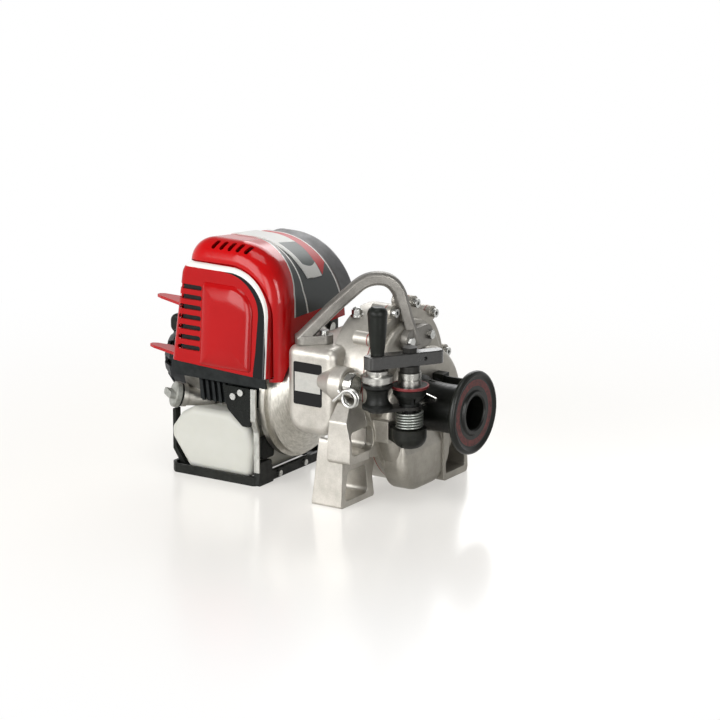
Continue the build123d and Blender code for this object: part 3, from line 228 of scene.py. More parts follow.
# Rating plate. A thin aluminium sheet stuck on the gearbox block, left blank: black bands above and below
# a pale, lightly scuffed field with a thin black frame.
PLATE_LOW = Vector((16.8, -76.5, 93.0)) * MM
PLATE_HIGH = Vector((50.0, -75.95, 136.5)) * MM
PLATE_SIZE = PLATE_HIGH - PLATE_LOW
PLATE_MIDDLE = (PLATE_HIGH + PLATE_LOW) / 2
PLATE_CORNER = 2.0
PLATE_FRAME = 1.6
FIELD_LOW, FIELD_HIGH = 106.5, 126.0
SCUFF_SIZE = 3.0
SAME_PLACE = 0.1  # points closer than this count as one


def piece(name, shape, material, body="winch_body"):
    """Makes an object of a bmesh, with its finish, riding on a body."""
    bmesh.ops.recalc_face_normals(shape, faces=shape.faces)
    data = bpy.data.meshes.new(name)
    shape.to_mesh(data)
    shape.free()
    data.materials.append(material)
    made = bpy.data.objects.new(name, data)
    bpy.context.scene.collection.objects.link(made)
    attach(made, body)
    return made


plate_material, tree, surface, place = new_material("printed_aluminium_plate")
parts = add(tree, "SeparateXYZ", {"Vector": place}).outputs
inner = add(tree, "Math", {0: parts["Z"], 1: (FIELD_LOW + FIELD_HIGH) / 2 * MM,
                           2: (FIELD_HIGH - FIELD_LOW) / 2 * MM}, operation="COMPARE")
between = add(tree, "Math", {0: parts["X"], 1: PLATE_MIDDLE.x, 2: PLATE_SIZE.x / 2 - PLATE_FRAME * MM},
              operation="COMPARE")
field = add(tree, "Math", {0: inner.outputs[0], 1: between.outputs[0]}, operation="MULTIPLY")
scuffs = add(tree, "TexNoise", {"Vector": place, "Scale": 1 / (SCUFF_SIZE * MM), "Detail": 5, "Roughness": 0.7})
silver = add(tree, "Mix", {0: scuffs.outputs["Fac"], "A": linear("#b9b8b2"), "B": linear("#dcdbd5")},
             data_type="RGBA")
shade = add(tree, "Mix", {0: field.outputs[0], "A": linear("#0b0b0c"), "B": silver.outputs["Result"]},
            data_type="RGBA")
tree.links.new(shade.outputs["Result"], surface["Base Color"])
rough = add(tree, "MapRange", {"Value": scuffs.outputs["Fac"], "To Min": 0.25, "To Max": 0.5})
tree.links.new(rough.outputs["Result"], surface["Roughness"])
surface["Specular IOR Level"].default_value = 0.2
plate = bmesh.new()
bmesh.ops.create_cube(plate, size=1.0)
bmesh.ops.scale(plate, vec=PLATE_SIZE, verts=plate.verts)
bmesh.ops.translate(plate, vec=PLATE_MIDDLE, verts=plate.verts)
corners = [e for e in plate.edges if abs(e.verts[0].co.y - e.verts[1].co.y) > SAME_PLACE * MM]
bmesh.ops.bevel(plate, geom=corners, offset=PLATE_CORNER * MM, offset_type="OFFSET", affect="EDGES", segments=5,
                profile=0.5, material=-1)
piece("rating_plate", plate, plate_material)

# Case gasket. A sheet of red sealing paper squeezed between the two halves of the case, which shows as a
# thin line all round the rim. Its fibres, a tenth of a millimetre thick, are drawn wider so that they show.
PAPER_FIBRE = 0.8
gasket_paper, tree, surface, place = new_material("red_sealing_paper")
fibres = add(tree, "TexNoise", {"Vector": place, "Scale": 1 / (PAPER_FIBRE * MM), "Detail": 3})
shade = add(tree, "Mix", {0: fibres.outputs["Fac"], "A": linear("#7d1a18"), "B": linear("#a8231f")},
            data_type="RGBA")
tree.links.new(shade.outputs["Result"], surface["Base Color"])
surface["Roughness"].default_value = 0.75
dress(gasket_paper, "case_gasket")

# Screws of the case, the handle and the engine. Cold-headed steel, zinc-plated in a bath: bright, with a
# faint bluish grey in its hollows. They hold the halves of the case, the handle and the engine together.
MARK_DEPTH = 0.05


def machined_metal(name, bright, dark, mark_mm, roughness, stretch=(1, 1, 1)):
    """Turned, ground or plated metal with tool marks, drawn out along the way that the tool ran. Real marks
    are about a tenth of a millimetre apart, too fine to show, so they are drawn a few millimetres long."""
    material, tree, surface, place = new_material(name)
    drawn = add(tree, "Mapping", {"Vector": place, "Scale": stretch}).outputs["Vector"]
    marks = add(tree, "TexNoise", {"Vector": drawn, "Scale": 1 / (mark_mm * MM), "Detail": 6, "Roughness": 0.7})
    spread = add(tree, "MapRange", {"Value": marks.outputs["Fac"], "From Min": NOISE_LOW,
                                    "From Max": NOISE_HIGH})
    mixed = add(tree, "Mix", {0: spread.outputs["Result"], "A": linear(dark), "B": linear(bright)},
                data_type="RGBA")
    tree.links.new(mixed.outputs["Result"], surface["Base Color"])
    rough = add(tree, "MapRange", {"Value": spread.outputs["Result"], "To Min": roughness + 0.08,
                                   "To Max": roughness - 0.06})
    tree.links.new(rough.outputs["Result"], surface["Roughness"])
    bump = add(tree, "Bump", {"Height": marks.outputs["Fac"], "Strength": 0.15, "Distance": MARK_DEPTH * MM})
    tree.links.new(bump.outputs["Normal"], surface["Normal"])
    surface["Metallic"].default_value = 1.0
    return material


zinc_steel = machined_metal("zinc_plated_steel", "#cfcfcb", "#8f908e", 2.5, 0.28)
dress(zinc_steel, "case_screws", "handle_bolts", "engine_screws")

# Filler plug on top of the gear case. A plated steel plug for the gear oil, screwed into the casting: a
# round collar, a hexagon for the spanner and a domed head.
PLUG_PLACE = Vector((55.0, -20.0, 175.2)) * MM
COLLAR_RADIUS, COLLAR_HIGH = 6.2, 2.4
HEXAGON_RADIUS, HEXAGON_HIGH, HEXAGON_MIDDLE = 5.4, 5.0, 4.6
CROWN_RADIUS, CROWN_FLAT, CROWN_MIDDLE = 4.4, 0.6, 7.0
plug = bmesh.new()
collar = bmesh.ops.create_cone(plug, cap_ends=True, segments=32, radius1=COLLAR_RADIUS * MM,
                               radius2=COLLAR_RADIUS * MM, depth=COLLAR_HIGH * MM)
bmesh.ops.translate(plug, vec=(0, 0, COLLAR_HIGH / 2 * MM), verts=collar["verts"])
hexagon = bmesh.ops.create_cone(plug, cap_ends=True, segments=6, radius1=HEXAGON_RADIUS * MM,
                                radius2=HEXAGON_RADIUS * MM, depth=HEXAGON_HIGH * MM)
bmesh.ops.translate(plug, vec=(0, 0, HEXAGON_MIDDLE * MM), verts=hexagon["verts"])
crown = bmesh.ops.create_uvsphere(plug, u_segments=32, v_segments=12, radius=CROWN_RADIUS * MM)["verts"]
bmesh.ops.scale(plug, vec=(1, 1, CROWN_FLAT), verts=crown)
bmesh.ops.translate(plug, vec=(0, 0, CROWN_MIDDLE * MM), verts=crown)
bmesh.ops.translate(plug, vec=PLUG_PLACE, verts=plug.verts)
piece("filler_plug", plug, zinc_steel)

# Gears, shafts and bearings inside the case. Alloy steel, hobbed and hardened, and pressed on their
# shafts: oily and a little darker than the screws, with marks the way they turn. The bearings are ground,
# so they are brighter and smoother.
gear_steel = machined_metal("hobbed_gear_steel", "#a9a8a2", "#75746e", 4.0, 0.3, stretch=(3, 1, 1))
dress(gear_steel, "idler_gear", "main_gear", "drum_shaft", "clutch_drum", "crankshaft")
bearing_steel = machined_metal("ground_bearing_steel", "#c4c4c0", "#9a9a96", 2.0, 0.2, stretch=(4, 1, 1))
dress(bearing_steel, "shaft_bearings")

# Carrying handle. The same aluminium, poured in a sand mould and bolted over the case: handled often, so
# a shade darker and smoother than the castings.
handle_aluminium = blasted_aluminium("worn_cast_aluminium", "#8f8c86", "#6e6b66", 1.3, 0.4)
dress(handle_aluminium, "carry_handle")

# Bearing sleeve and rope eye. The sleeve is turned steel with rings left by the lathe, pressed on the neck
# of the gearbox block; the eye is bent from drawn spring wire, plated bright and set in the casting.
turned_steel = machined_metal("turned_steel_sleeve", "#d2d1cc", "#a3a29c", 6.0, 0.2, stretch=(7, 1, 1))
dress(turned_steel, "bearing_sleeve")
drawn_wire = machined_metal("plated_drawn_wire", "#d6d6d2", "#a6a6a2", 1.6, 0.32)
dress(drawn_wire, "rope_eye")

# Drum and its bolts. The drum is cast iron, turned and finished in black enamel, and hauling polishes
# streaks round it; the bolts are black oxide steel, rubbed grey on their heads.
PATCH_LOW, PATCH_HIGH = 0.32, 0.68  # a little more contrast than the noise's own
FINISH_GRAIN, FINISH_DEPTH = 0.7, 0.07


def rubbed_finish(name, dark, rubbed, patch_mm, roughness, stretch=(1, 1, 1), shine=0.18):
    """Paint, oxide or moulded plastic with patches or streaks where use has polished it. Its real grain is
    about a tenth of a millimetre wide and is drawn wider so that it shows."""
    material, tree, surface, place = new_material(name)
    drawn = add(tree, "Mapping", {"Vector": place, "Scale": stretch}).outputs["Vector"]
    patches = add(tree, "TexNoise", {"Vector": drawn, "Scale": 1 / (patch_mm * MM), "Detail": 5,
                                     "Roughness": 0.6})
    spread = add(tree, "MapRange", {"Value": patches.outputs["Fac"], "From Min": PATCH_LOW,
                                    "From Max": PATCH_HIGH})
    mixed = add(tree, "Mix", {0: spread.outputs["Result"], "A": linear(dark), "B": linear(rubbed)},
                data_type="RGBA")
    tree.links.new(mixed.outputs["Result"], surface["Base Color"])
    rough = add(tree, "MapRange", {"Value": spread.outputs["Result"], "To Min": roughness + 0.1,
                                   "To Max": roughness - 0.06})
    tree.links.new(rough.outputs["Result"], surface["Roughness"])
    grain = add(tree, "TexNoise", {"Vector": place, "Scale": 1 / (FINISH_GRAIN * MM), "Detail": 2})
    bump = add(tree, "Bump", {"Height": grain.outputs["Fac"], "Strength": 0.25, "Distance": FINISH_DEPTH * MM})
    tree.links.new(bump.outputs["Normal"], surface["Normal"])
    surface["Specular IOR Level"].default_value = shine
    return material


drum_black = rubbed_finish("black_enamelled_iron", "#090b08", "#171915", 14, 0.34, stretch=(8, 1, 1))
dress(drum_black, "drum")
bolt_black = rubbed_finish("black_oxide_bolts", "#2b2c2a", "#4b4c49", 3, 0.3)
dress(bolt_black, "drum_bolts")

# Drum flange. The same enamelled iron, bolted to the drum's free end, with a faded red ring painted round
# its dished face. The paint is worn through in specks.
RING_INNER, RING_OUTER = 27.0, 33.5
FLANGE_AXIS_HIGH = 90.0
FLANGE_FRONT = 176.5
FLANGE_WEAR = 5.0
flange_material, tree, surface, place = new_material("enamelled_flange_with_red_ring")
centred = add(tree, "Mapping", {"Vector": place, "Location": (0, 0, -FLANGE_AXIS_HIGH * MM)}).outputs["Vector"]
flat = add(tree, "VectorMath", {0: centred, 1: (0, 1, 1)}, operation="MULTIPLY").outputs["Vector"]
reach = add(tree, "VectorMath", {0: flat}, operation="LENGTH").outputs["Value"]
wear = add(tree, "TexNoise", {"Vector": place, "Scale": 1 / (FLANGE_WEAR * MM), "Detail": 6, "Roughness": 0.7})
kept = add(tree, "MapRange", {"Value": wear.outputs["Fac"], "From Min": 0.35, "From Max": 0.62,
                              "To Min": 0.25, "To Max": 0.85})
ring = add(tree, "Math", {0: reach, 1: (RING_INNER + RING_OUTER) / 2 * MM,
                          2: (RING_OUTER - RING_INNER) / 2 * MM}, operation="COMPARE")
along = add(tree, "SeparateXYZ", {"Vector": place}).outputs["X"]
facing = add(tree, "Math", {0: along, 1: FLANGE_FRONT * MM}, operation="GREATER_THAN")
painted = add(tree, "Math", {0: ring.outputs[0], 1: facing.outputs[0]}, operation="MULTIPLY")
painted = add(tree, "Math", {0: painted.outputs[0], 1: kept.outputs["Result"]}, operation="MULTIPLY")
black = add(tree, "Mix", {0: wear.outputs["Fac"], "A": linear("#10120f"), "B": linear("#22241f")},
            data_type="RGBA")
shade = add(tree, "Mix", {0: painted.outputs[0], "A": black.outputs["Result"], "B": linear("#8e2f2b")},
            data_type="RGBA")
tree.links.new(shade.outputs["Result"], surface["Base Color"])
rough = add(tree, "MapRange", {"Value": wear.outputs["Fac"], "From Min": NOISE_LOW, "From Max": NOISE_HIGH,
                               "To Min": 0.42, "To Max": 0.28})
tree.links.new(rough.outputs["Result"], surface["Roughness"])
surface["Specular IOR Level"].default_value = 0.25
dress(flange_material, "drum_flange")

# Press bracket, post and lever bar. A dark painted casting bolted to the cover, a black oxide steel post
# in it, and on the post a bar ground flat before it was blackened, so that its top mirrors the room.
bracket_paint = rubbed_finish("painted_iron_bracket", "#131411", "#24251f", 7, 0.45)
dress(bracket_paint, "press_bracket", "rope_stop")
oxide_steel = rubbed_finish("black_oxide_steel", "#232220", "#3b3a37", 10, 0.38)
dress(oxide_steel, "pivot_post", "link_plate", "roller_pin")
ground_bar = rubbed_finish("ground_black_oxide_bar", "#232220", "#3b3a37", 10, 0.2, shine=0.75)
dress(ground_bar, "lever_bar")

# Rings of the roller and the disc. Steel turned on a lathe and pressed on, bright, with the tool's rings
# round their upright axis.
ring_steel = machined_metal("turned_steel_rings", "#b0afaa", "#7d7c77", 5.0, 0.3, stretch=(1, 1, 7))
dress(ring_steel, "roller_ring", "disc_ring")

# Guide roller, spring cone and knob. The roller and the cone are turned from black nylon, and the knob is
# moulded phenolic that turns on the roller's pin; all have a dull shine from handling.
nylon = rubbed_finish("black_turned_nylon", "#0d0f0c", "#1c1e1b", 5, 0.4, stretch=(1, 1, 4))
dress(nylon, "guide_roller", "spring_cone")
knob_black = rubbed_finish("black_phenolic_knob", "#10130f", "#1e211c", 11, 0.36)
dress(knob_black, "knob")

# Guide disc. A thin disc of black moulded plastic that turns on the post, held by its steel ring: dull,
# with a red rim that is a painted reflection of the red rope.
DISC_MIDDLE = Vector((136.0, -50.0, 0.0)) * MM
DISC_EDGE = 17.4
DISC_WEAR = 4.0
disc_material, tree, surface, place = new_material("black_disc_with_painted_rope_reflection")
centred = add(tree, "Mapping", {"Vector": place, "Location": -DISC_MIDDLE}).outputs["Vector"]
flat = add(tree, "VectorMath", {0: centred, 1: (1, 1, 0)}, operation="MULTIPLY").outputs["Vector"]
reach = add(tree, "VectorMath", {0: flat}, operation="LENGTH").outputs["Value"]
edge = add(tree, "Math", {0: reach, 1: DISC_EDGE * MM}, operation="GREATER_THAN")
wear = add(tree, "TexNoise", {"Vector": place, "Scale": 1 / (DISC_WEAR * MM), "Detail": 5})
black = add(tree, "Mix", {0: wear.outputs["Fac"], "A": linear("#101110"), "B": linear("#1e201d")},
            data_type="RGBA")
# Beyond the rim's radius the disc is red: painted reflection of the red rope.
shade = add(tree, "Mix", {0: edge.outputs[0], "A": black.outputs["Result"], "B": linear("#8f3a3c")},
            data_type="RGBA")
tree.links.new(shade.outputs["Result"], surface["Base Color"])
surface["Roughness"].default_value = 0.4
surface["Specular IOR Level"].default_value = 0.25
dress(disc_material, "guide_disc")

# Lever spring. Oil-tempered spring wire, wound cold and slipped on the post to swing the press back: dull
# grey, with paler crests where the coils rub.
spring_wire = machined_metal("oil_tempered_spring_wire", "#a3a6a1", "#767973", 2.0, 0.42)
dress(spring_wire, "lever_spring")

# Rope stripper. A leaf of polished spring steel that stands out from the cover beside the drum, so that
# no turn rides back under the next: the brightest piece of the press.
leaf_steel = machined_metal("polished_spring_steel", "#cbcac5", "#9a9994", 3.0, 0.2, stretch=(1, 1, 5))
dress(leaf_steel, "rope_stripper")

# Bell housing. Die-cast aluminium, bolted between engine and gearbox and turned on a lathe: brighter than
# the sand castings, with the tool's rings round it.
bell_aluminium = machined_metal("turned_cast_bell", "#c9c6be", "#98958d", 7.0, 0.34, stretch=(6, 1, 1))
dress(bell_aluminium, "bell_housing")

# Crankcase and cylinder. Pressure die-cast aluminium, darker and smoother than the sand castings, as are
# the carburettor and the fan. The small levers, the clutch shoes and the plug are stamped or plated steel,
# a little brighter than the castings.
die_cast = blasted_aluminium("pressure_die_cast_aluminium", "#a5a39c", "#807d76", 0.8, 0.4)
dress(die_cast, "crankcase", "cylinder", "carburettor", "flywheel_fan")
lever_steel = machined_metal("stamped_lever_steel", "#b3b3ae", "#85857f", 3.0, 0.34)
dress(lever_steel, "throttle_lever", "choke_lever", "clutch_shoes", "spark_plug")

# Fuel tank. Blow-moulded natural polyethylene, held in the engine base: milky, with round edges, a soft
# skin and faint clouds in its wall. The skin's real grain, under a millimetre, is drawn wider to show.
MILK_SIZE = 24.0
MILK_DEPTH = (6.0, 6.0, 5.0)  # how far red, green and blue light go into the wall
SKIN_SIZE, SKIN_DEPTH = 2.2, 0.15
BLOWN_EDGE = 5.0
tank_white, tree, surface, place = new_material("blow_moulded_polyethylene")
milk = add(tree, "TexNoise", {"Vector": place, "Scale": 1 / (MILK_SIZE * MM), "Detail": 4})
shade = add(tree, "Mix", {0: milk.outputs["Fac"], "A": linear("#d6d6cd"), "B": linear("#e2e2da")},
            data_type="RGBA")
tree.links.new(shade.outputs["Result"], surface["Base Color"])
skin = add(tree, "TexNoise", {"Vector": place, "Scale": 1 / (SKIN_SIZE * MM), "Detail": 2})
blown = add(tree, "Bevel", {"Radius": BLOWN_EDGE * MM}, samples=6)
bump = add(tree, "Bump", {"Height": skin.outputs["Fac"], "Strength": 0.12, "Distance": SKIN_DEPTH * MM,
                          "Normal": blown.outputs["Normal"]})
tree.links.new(bump.outputs["Normal"], surface["Normal"])
rough = add(tree, "MapRange", {"Value": skin.outputs["Fac"], "To Min": 0.32, "To Max": 0.46})
tree.links.new(rough.outputs["Result"], surface["Roughness"])
surface["Subsurface Weight"].default_value = 0.3
surface["Subsurface Radius"].default_value = [depth * MM for depth in MILK_DEPTH]
surface["Specular IOR Level"].default_value = 0.3
dress(tank_white, "fuel_tank")

# Tank strap, pad and seals. A strip of bright rolled steel bent down the corner of the tank, over a dull
# black rubber pad; the shaft seal and the oil cap's ring are the same rubber.
strap_steel = machined_metal("bent_strip_steel", "#c3c3be", "#8b8b86", 3.5, 0.3, stretch=(1, 1, 0.25))
dress(strap_steel, "tank_strap")
rubber = rubbed_finish("black_rubber", "#121311", "#20211e", 4, 0.66)
dress(rubber, "tank_pad", "shaft_seal", "oil_ring")

# Engine base, fuel cap, air cleaner and starter. Black glass-filled nylon, injection-moulded, with the
# fine grain of a spark-eroded mould; the starter's housing is a bluish charcoal.
moulded_nylon = rubbed_finish("black_moulded_nylon", "#121411", "#222420", 6, 0.44)
dress(moulded_nylon, "engine_base", "fuel_cap", "air_cleaner", "starter_grip", "recoil_pulley")
starter_black = rubbed_finish("charcoal_starter_housing", "#16191a", "#272a2c", 9, 0.4)
dress(starter_black, "recoil_housing")

# Oil cap. Grey moulded plastic, screwed into the neck of the crankcase and rubbed paler along the grip
# that the fingers turn.
cap_grey = rubbed_finish("grey_moulded_cap", "#8b8c85", "#acada6", 4, 0.34)
dress(cap_grey, "oil_cap")

# Heat shield, bracket and muffler. Dull charcoal heat-proof plastic, moulded to fit under the guard; a
# bent bracket of sheet steel in glossy black paint; and a welded steel box that the exhaust has darkened.
charcoal = rubbed_finish("charcoal_heat_shield", "#151819", "#262a2a", 8, 0.46)
dress(charcoal, "heat_shield")
bracket_black = rubbed_finish("black_gloss_paint", "#070a08", "#141814", 9, 0.26)
dress(bracket_black, "engine_bracket")
hot_steel = rubbed_finish("heat_darkened_steel", "#0f0e0d", "#1d1b19", 6, 0.5)
dress(hot_steel, "muffler")

# Hood. Injection-moulded ABS in glossy red. Behind a crease it has a satin printed film: a dark grey field
# between white lines, a red band along the rear and a brownish edge. Towards the top the field's grey turns
# pale, a painted reflection, and the line along the crease is a painted highlight on the crease and the
# film's edge. Places on it are an angle round the hood's upright arch, from the drum side, and a distance
# along the winch's width.
ABS_IOR = 1.54
ABS_ROUGH, FILM_ROUGH = 0.14, 0.38
FLOW_SIZE = 45.0
ARCH_MIDDLE = Vector((-60.0, 0.0, 175.0)) * MM
FILM_MIDDLE, FILM_SPAN = math.radians(66), math.radians(66.5)
SHEEN_FROM, SHEEN_TO = math.radians(58), math.radians(70)  # the film's grey turns pale between these
CREASE_RUN = (20, 120, -57.0, -17.0)  # from one angle to another, the place runs from one to another
LINE_RUN = (0, 62, 23.0, 6.0)
BAND_RUN = (27, 40, 8.0, 28.4)
CREASE_HIGHLIGHT, FILM_LINE, REAR_LINE = 1.1, 1.2, 1.2  # half the width of each line
BAND_FROM, REAR_PLACE, RIM_FROM = 9.0, 29.2, 30.4


def glossy_abs(surface):
    """The shine of polished ABS under its lacquer."""
    surface["IOR"].default_value = ABS_IOR
    surface["Roughness"].default_value = ABS_ROUGH
    surface["Specular IOR Level"].default_value = 0.22


def red_skin(tree, place, deep, bright):
    """Red of the moulding, with the faint flow clouds of coloured ABS."""
    flow = add(tree, "TexNoise", {"Vector": place, "Scale": 1 / (FLOW_SIZE * MM), "Detail": 3})
    skin = add(tree, "Mix", {0: flow.outputs["Fac"], "A": linear(deep), "B": linear(bright)}, data_type="RGBA")
    return skin.outputs["Result"]


hood_material, tree, surface, place = new_material("red_gloss_abs_with_printed_film")
glossy_abs(surface)
centred = add(tree, "Mapping", {"Vector": place, "Location": -ARCH_MIDDLE}).outputs["Vector"]
parts = add(tree, "SeparateXYZ", {"Vector": centred}).outputs
turn = add(tree, "Math", {0: parts["Z"], 1: parts["X"]}, operation="ARCTAN2").outputs[0]
across = parts["Y"]
crease, line_back, band_edge = [
    add(tree, "MapRange", {"Value": turn, "From Min": math.radians(first), "From Max": math.radians(last),
                           "To Min": near * MM, "To Max": far * MM}).outputs["Result"]
    for first, last, near, far in (CREASE_RUN, LINE_RUN, BAND_RUN)]
behind = add(tree, "Math", {0: across, 1: crease}, operation="SUBTRACT").outputs[0]
in_arch = add(tree, "Math", {0: turn, 1: FILM_MIDDLE, 2: FILM_SPAN}, operation="COMPARE").outputs[0]
# Towards the top the film's grey turns pale: painted reflection of the room on the satin film.
top_sheen = add(tree, "MapRange", {"Value": turn, "From Min": SHEEN_FROM, "From Max": SHEEN_TO})
film_grey_and_sheen = add(tree, "Mix", {0: top_sheen.outputs["Result"], "A": linear("#343938"), "B": linear("#b9b8b4")},
                data_type="RGBA")
field = add(tree, "Math", {0: behind, 1: 0.0}, operation="GREATER_THAN")
# The pale line along the crease is a painted highlight on the crease together with the film's pale edge.
crease_highlight = add(tree, "Math", {0: behind, 1: 0.0, 2: CREASE_HIGHLIGHT * MM}, operation="COMPARE")
line = add(tree, "Math", {0: behind, 1: line_back, 2: FILM_LINE * MM}, operation="COMPARE")
band_near = add(tree, "Math", {0: across, 1: BAND_FROM * MM}, operation="GREATER_THAN")
band_far = add(tree, "Math", {0: across, 1: band_edge}, operation="LESS_THAN")
band = add(tree, "Math", {0: band_near.outputs[0], 1: band_far.outputs[0]}, operation="MULTIPLY")
rear_line = add(tree, "Math", {0: across, 1: REAR_PLACE * MM, 2: REAR_LINE * MM}, operation="COMPARE")
rim = add(tree, "Math", {0: across, 1: RIM_FROM * MM}, operation="GREATER_THAN")
# The hood's red is a shade lighter than the guard's of the same ABS: painted light on the brow, which faces up.
red = red_skin(tree, place, "#be0609", "#cc0a0e")
colour = red
for mask, ink in ((field, film_grey_and_sheen.outputs["Result"]), (crease_highlight, linear("#e6e4e0")),
                  (line, linear("#f1efea")), (band, red), (rear_line, linear("#f1efea")),
                  (rim, linear("#6c6260"))):
    printed = add(tree, "Math", {0: mask.outputs[0], 1: in_arch}, operation="MULTIPLY")
    colour = add(tree, "Mix", {0: printed.outputs[0], "A": colour, "B": ink},
                 data_type="RGBA").outputs["Result"]
tree.links.new(colour, surface["Base Color"])
film = add(tree, "Math", {0: field.outputs[0], 1: in_arch}, operation="MULTIPLY")
satin = add(tree, "MapRange", {"Value": film.outputs[0], "To Min": ABS_ROUGH, "To Max": FILM_ROUGH})
tree.links.new(satin.outputs["Result"], surface["Roughness"])
dress(hood_material, "top_cover")

# Hood panel. A plain sheet of printed polycarbonate, stuck over the hood's arch: a pale frame round a
# dull grey-green window, narrower towards its lower end. The print's speckle is drawn coarser to show.
PANEL_MIDDLE = -6.0
PANEL_HALF = 15.0
PANEL_THICK = 0.9
PANEL_GAP = 0.1
PANEL_START, PANEL_TURN, PANEL_STEPS = math.radians(28), math.radians(84), 36
PANEL_CUTS = 11
PANEL_WIDE_AT, PANEL_WIDENS = math.radians(60), 0.4
SPUN_AT = 90.0  # the sheet is spun on this radius, clear of the hood, and then laid on it
WINDOW_HALF = (12.4, 18.4)
WINDOW_SHARE = 0.94
WINDOW_LOW, WINDOW_TOP, WINDOW_BOW = math.radians(38.5), math.radians(70), math.radians(4)
PRINT_SPECKLE = 1.4
panel_material, tree, surface, place = new_material("printed_polycarbonate_panel")
surface["Roughness"].default_value = 0.34
surface["Specular IOR Level"].default_value = 0.18
panel_axis = ARCH_MIDDLE + Vector((0, PANEL_MIDDLE * MM, 0))
centred = add(tree, "Mapping", {"Vector": place, "Location": -panel_axis}).outputs["Vector"]
parts = add(tree, "SeparateXYZ", {"Vector": centred}).outputs
turn = add(tree, "Math", {0: parts["Z"], 1: parts["X"]}, operation="ARCTAN2").outputs[0]
off = add(tree, "Math", {0: parts["Y"]}, operation="ABSOLUTE").outputs[0]
half = add(tree, "MapRange", {"Value": turn, "From Min": PANEL_START, "From Max": PANEL_WIDE_AT,
                              "To Min": WINDOW_HALF[0] * MM, "To Max": WINDOW_HALF[1] * MM})
share = add(tree, "Math", {0: off, 1: half.outputs["Result"]}, operation="DIVIDE").outputs[0]
bow = add(tree, "Math", {0: share, 1: 2.0}, operation="POWER")
bow = add(tree, "Math", {0: bow.outputs[0], 1: WINDOW_BOW}, operation="MULTIPLY")
foot = add(tree, "Math", {0: bow.outputs[0], 1: WINDOW_LOW}, operation="ADD")
above = add(tree, "Math", {0: turn, 1: foot.outputs[0]}, operation="GREATER_THAN")
below = add(tree, "Math", {0: turn, 1: WINDOW_TOP}, operation="LESS_THAN")
inside = add(tree, "Math", {0: share, 1: WINDOW_SHARE}, operation="LESS_THAN")
window = add(tree, "Math", {0: inside.outputs[0], 1: above.outputs[0]}, operation="MULTIPLY")
window = add(tree, "Math", {0: window.outputs[0], 1: below.outputs[0]}, operation="MULTIPLY")
speckle = add(tree, "TexNoise", {"Vector": place, "Scale": 1 / (PRINT_SPECKLE * MM), "Detail": 3})
grey = add(tree, "Mix", {0: speckle.outputs["Fac"], "A": linear("#4c5451"), "B": linear("#5d6562")},
           data_type="RGBA")
pale = add(tree, "Mix", {0: speckle.outputs["Fac"], "A": linear("#dddcd7"), "B": linear("#ebeae6")},
           data_type="RGBA")
shade = add(tree, "Mix", {0: window.outputs[0], "A": pale.outputs["Result"], "B": grey.outputs["Result"]},
            data_type="RGBA")
tree.links.new(shade.outputs["Result"], surface["Base Color"])
panel = bmesh.new()
start = ARCH_MIDDLE + Vector((math.cos(PANEL_START), 0, math.sin(PANEL_START))) * SPUN_AT * MM
ends = [panel.verts.new(start + Vector((0, (PANEL_MIDDLE + side * PANEL_HALF) * MM, 0))) for side in (-1, 1)]
panel_edge = panel.edges.new(ends)
bmesh.ops.subdivide_edges(panel, edges=[panel_edge], cuts=PANEL_CUTS)
bmesh.ops.spin(panel, geom=panel.verts[:] + panel.edges[:], cent=ARCH_MIDDLE, axis=(0, -1, 0), angle=PANEL_TURN,
               steps=PANEL_STEPS)
for vert in panel.verts:
    offset = vert.co - ARCH_MIDDLE
    climb = (math.atan2(offset.z, offset.x) - PANEL_START) / (PANEL_WIDE_AT - PANEL_START)
    wider = 1 + PANEL_WIDENS * min(1.0, climb)
    vert.co.y = (PANEL_MIDDLE + (vert.co.y / MM - PANEL_MIDDLE) * wider) * MM
hood_panel = piece("hood_panel", panel, panel_material)
wrap = hood_panel.modifiers.new("lay_on_hood", "SHRINKWRAP")
wrap.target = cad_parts["top_cover"]
wrap.wrap_method = "NEAREST_SURFACEPOINT"
wrap.wrap_mode = "ABOVE_SURFACE"
wrap.offset = PANEL_GAP * MM
thick = hood_panel.modifiers.new("sheet", "SOLIDIFY")
thick.thickness = PANEL_THICK * MM
thick.offset = 1.0
graph = bpy.context.evaluated_depsgraph_get()
laid = bpy.data.meshes.new_from_object(hood_panel.evaluated_get(graph))
hood_panel.modifiers.clear()
hood_panel.data = laid

# Muffler guard. Red gloss ABS, clipped over the exhaust box, with a black painted stripe down its right
# edge and a white band along the top of its rim that thins out downwards. Both follow the round corner:
# reach is the distance from that corner's middle.
GUARD_CORNER = Vector((-53.2, 0.0, 177.5)) * MM
GUARD_RIM = 46.2
WHITE_FOOT, WHITE_TOP = -35.0, 47.0
WHITE_LEAST, WHITE_MOST = 0.9, 5.5
STRIPE_START, STRIPE_FULL, STRIPE_WIDE = -8.0, 30.0, 5.5
WIDER_FOOT, WIDER_TOP, WIDER_BY = -56.0, 20.0, 7.5  # towards its foot the stripe is wider
guard_material, tree, surface, place = new_material("red_gloss_abs_with_stripe")
glossy_abs(surface)
centred = add(tree, "Mapping", {"Vector": place, "Location": -GUARD_CORNER}).outputs["Vector"]
beyond = add(tree, "VectorMath", {0: centred, 1: (0, 0, 0)}, operation="MAXIMUM").outputs["Vector"]
beyond = add(tree, "VectorMath", {0: beyond, 1: (1, 0, 1)}, operation="MULTIPLY").outputs["Vector"]
reach = add(tree, "VectorMath", {0: beyond}, operation="LENGTH").outputs["Value"]
parts = add(tree, "SeparateXYZ", {"Vector": centred}).outputs
white_from = add(tree, "MapRange", {"Value": parts["Z"], "From Min": WHITE_FOOT * MM,
                                    "From Max": WHITE_TOP * MM,
                                    "To Min": (GUARD_RIM - WHITE_LEAST) * MM,
                                    "To Max": (GUARD_RIM - WHITE_MOST) * MM}).outputs["Result"]
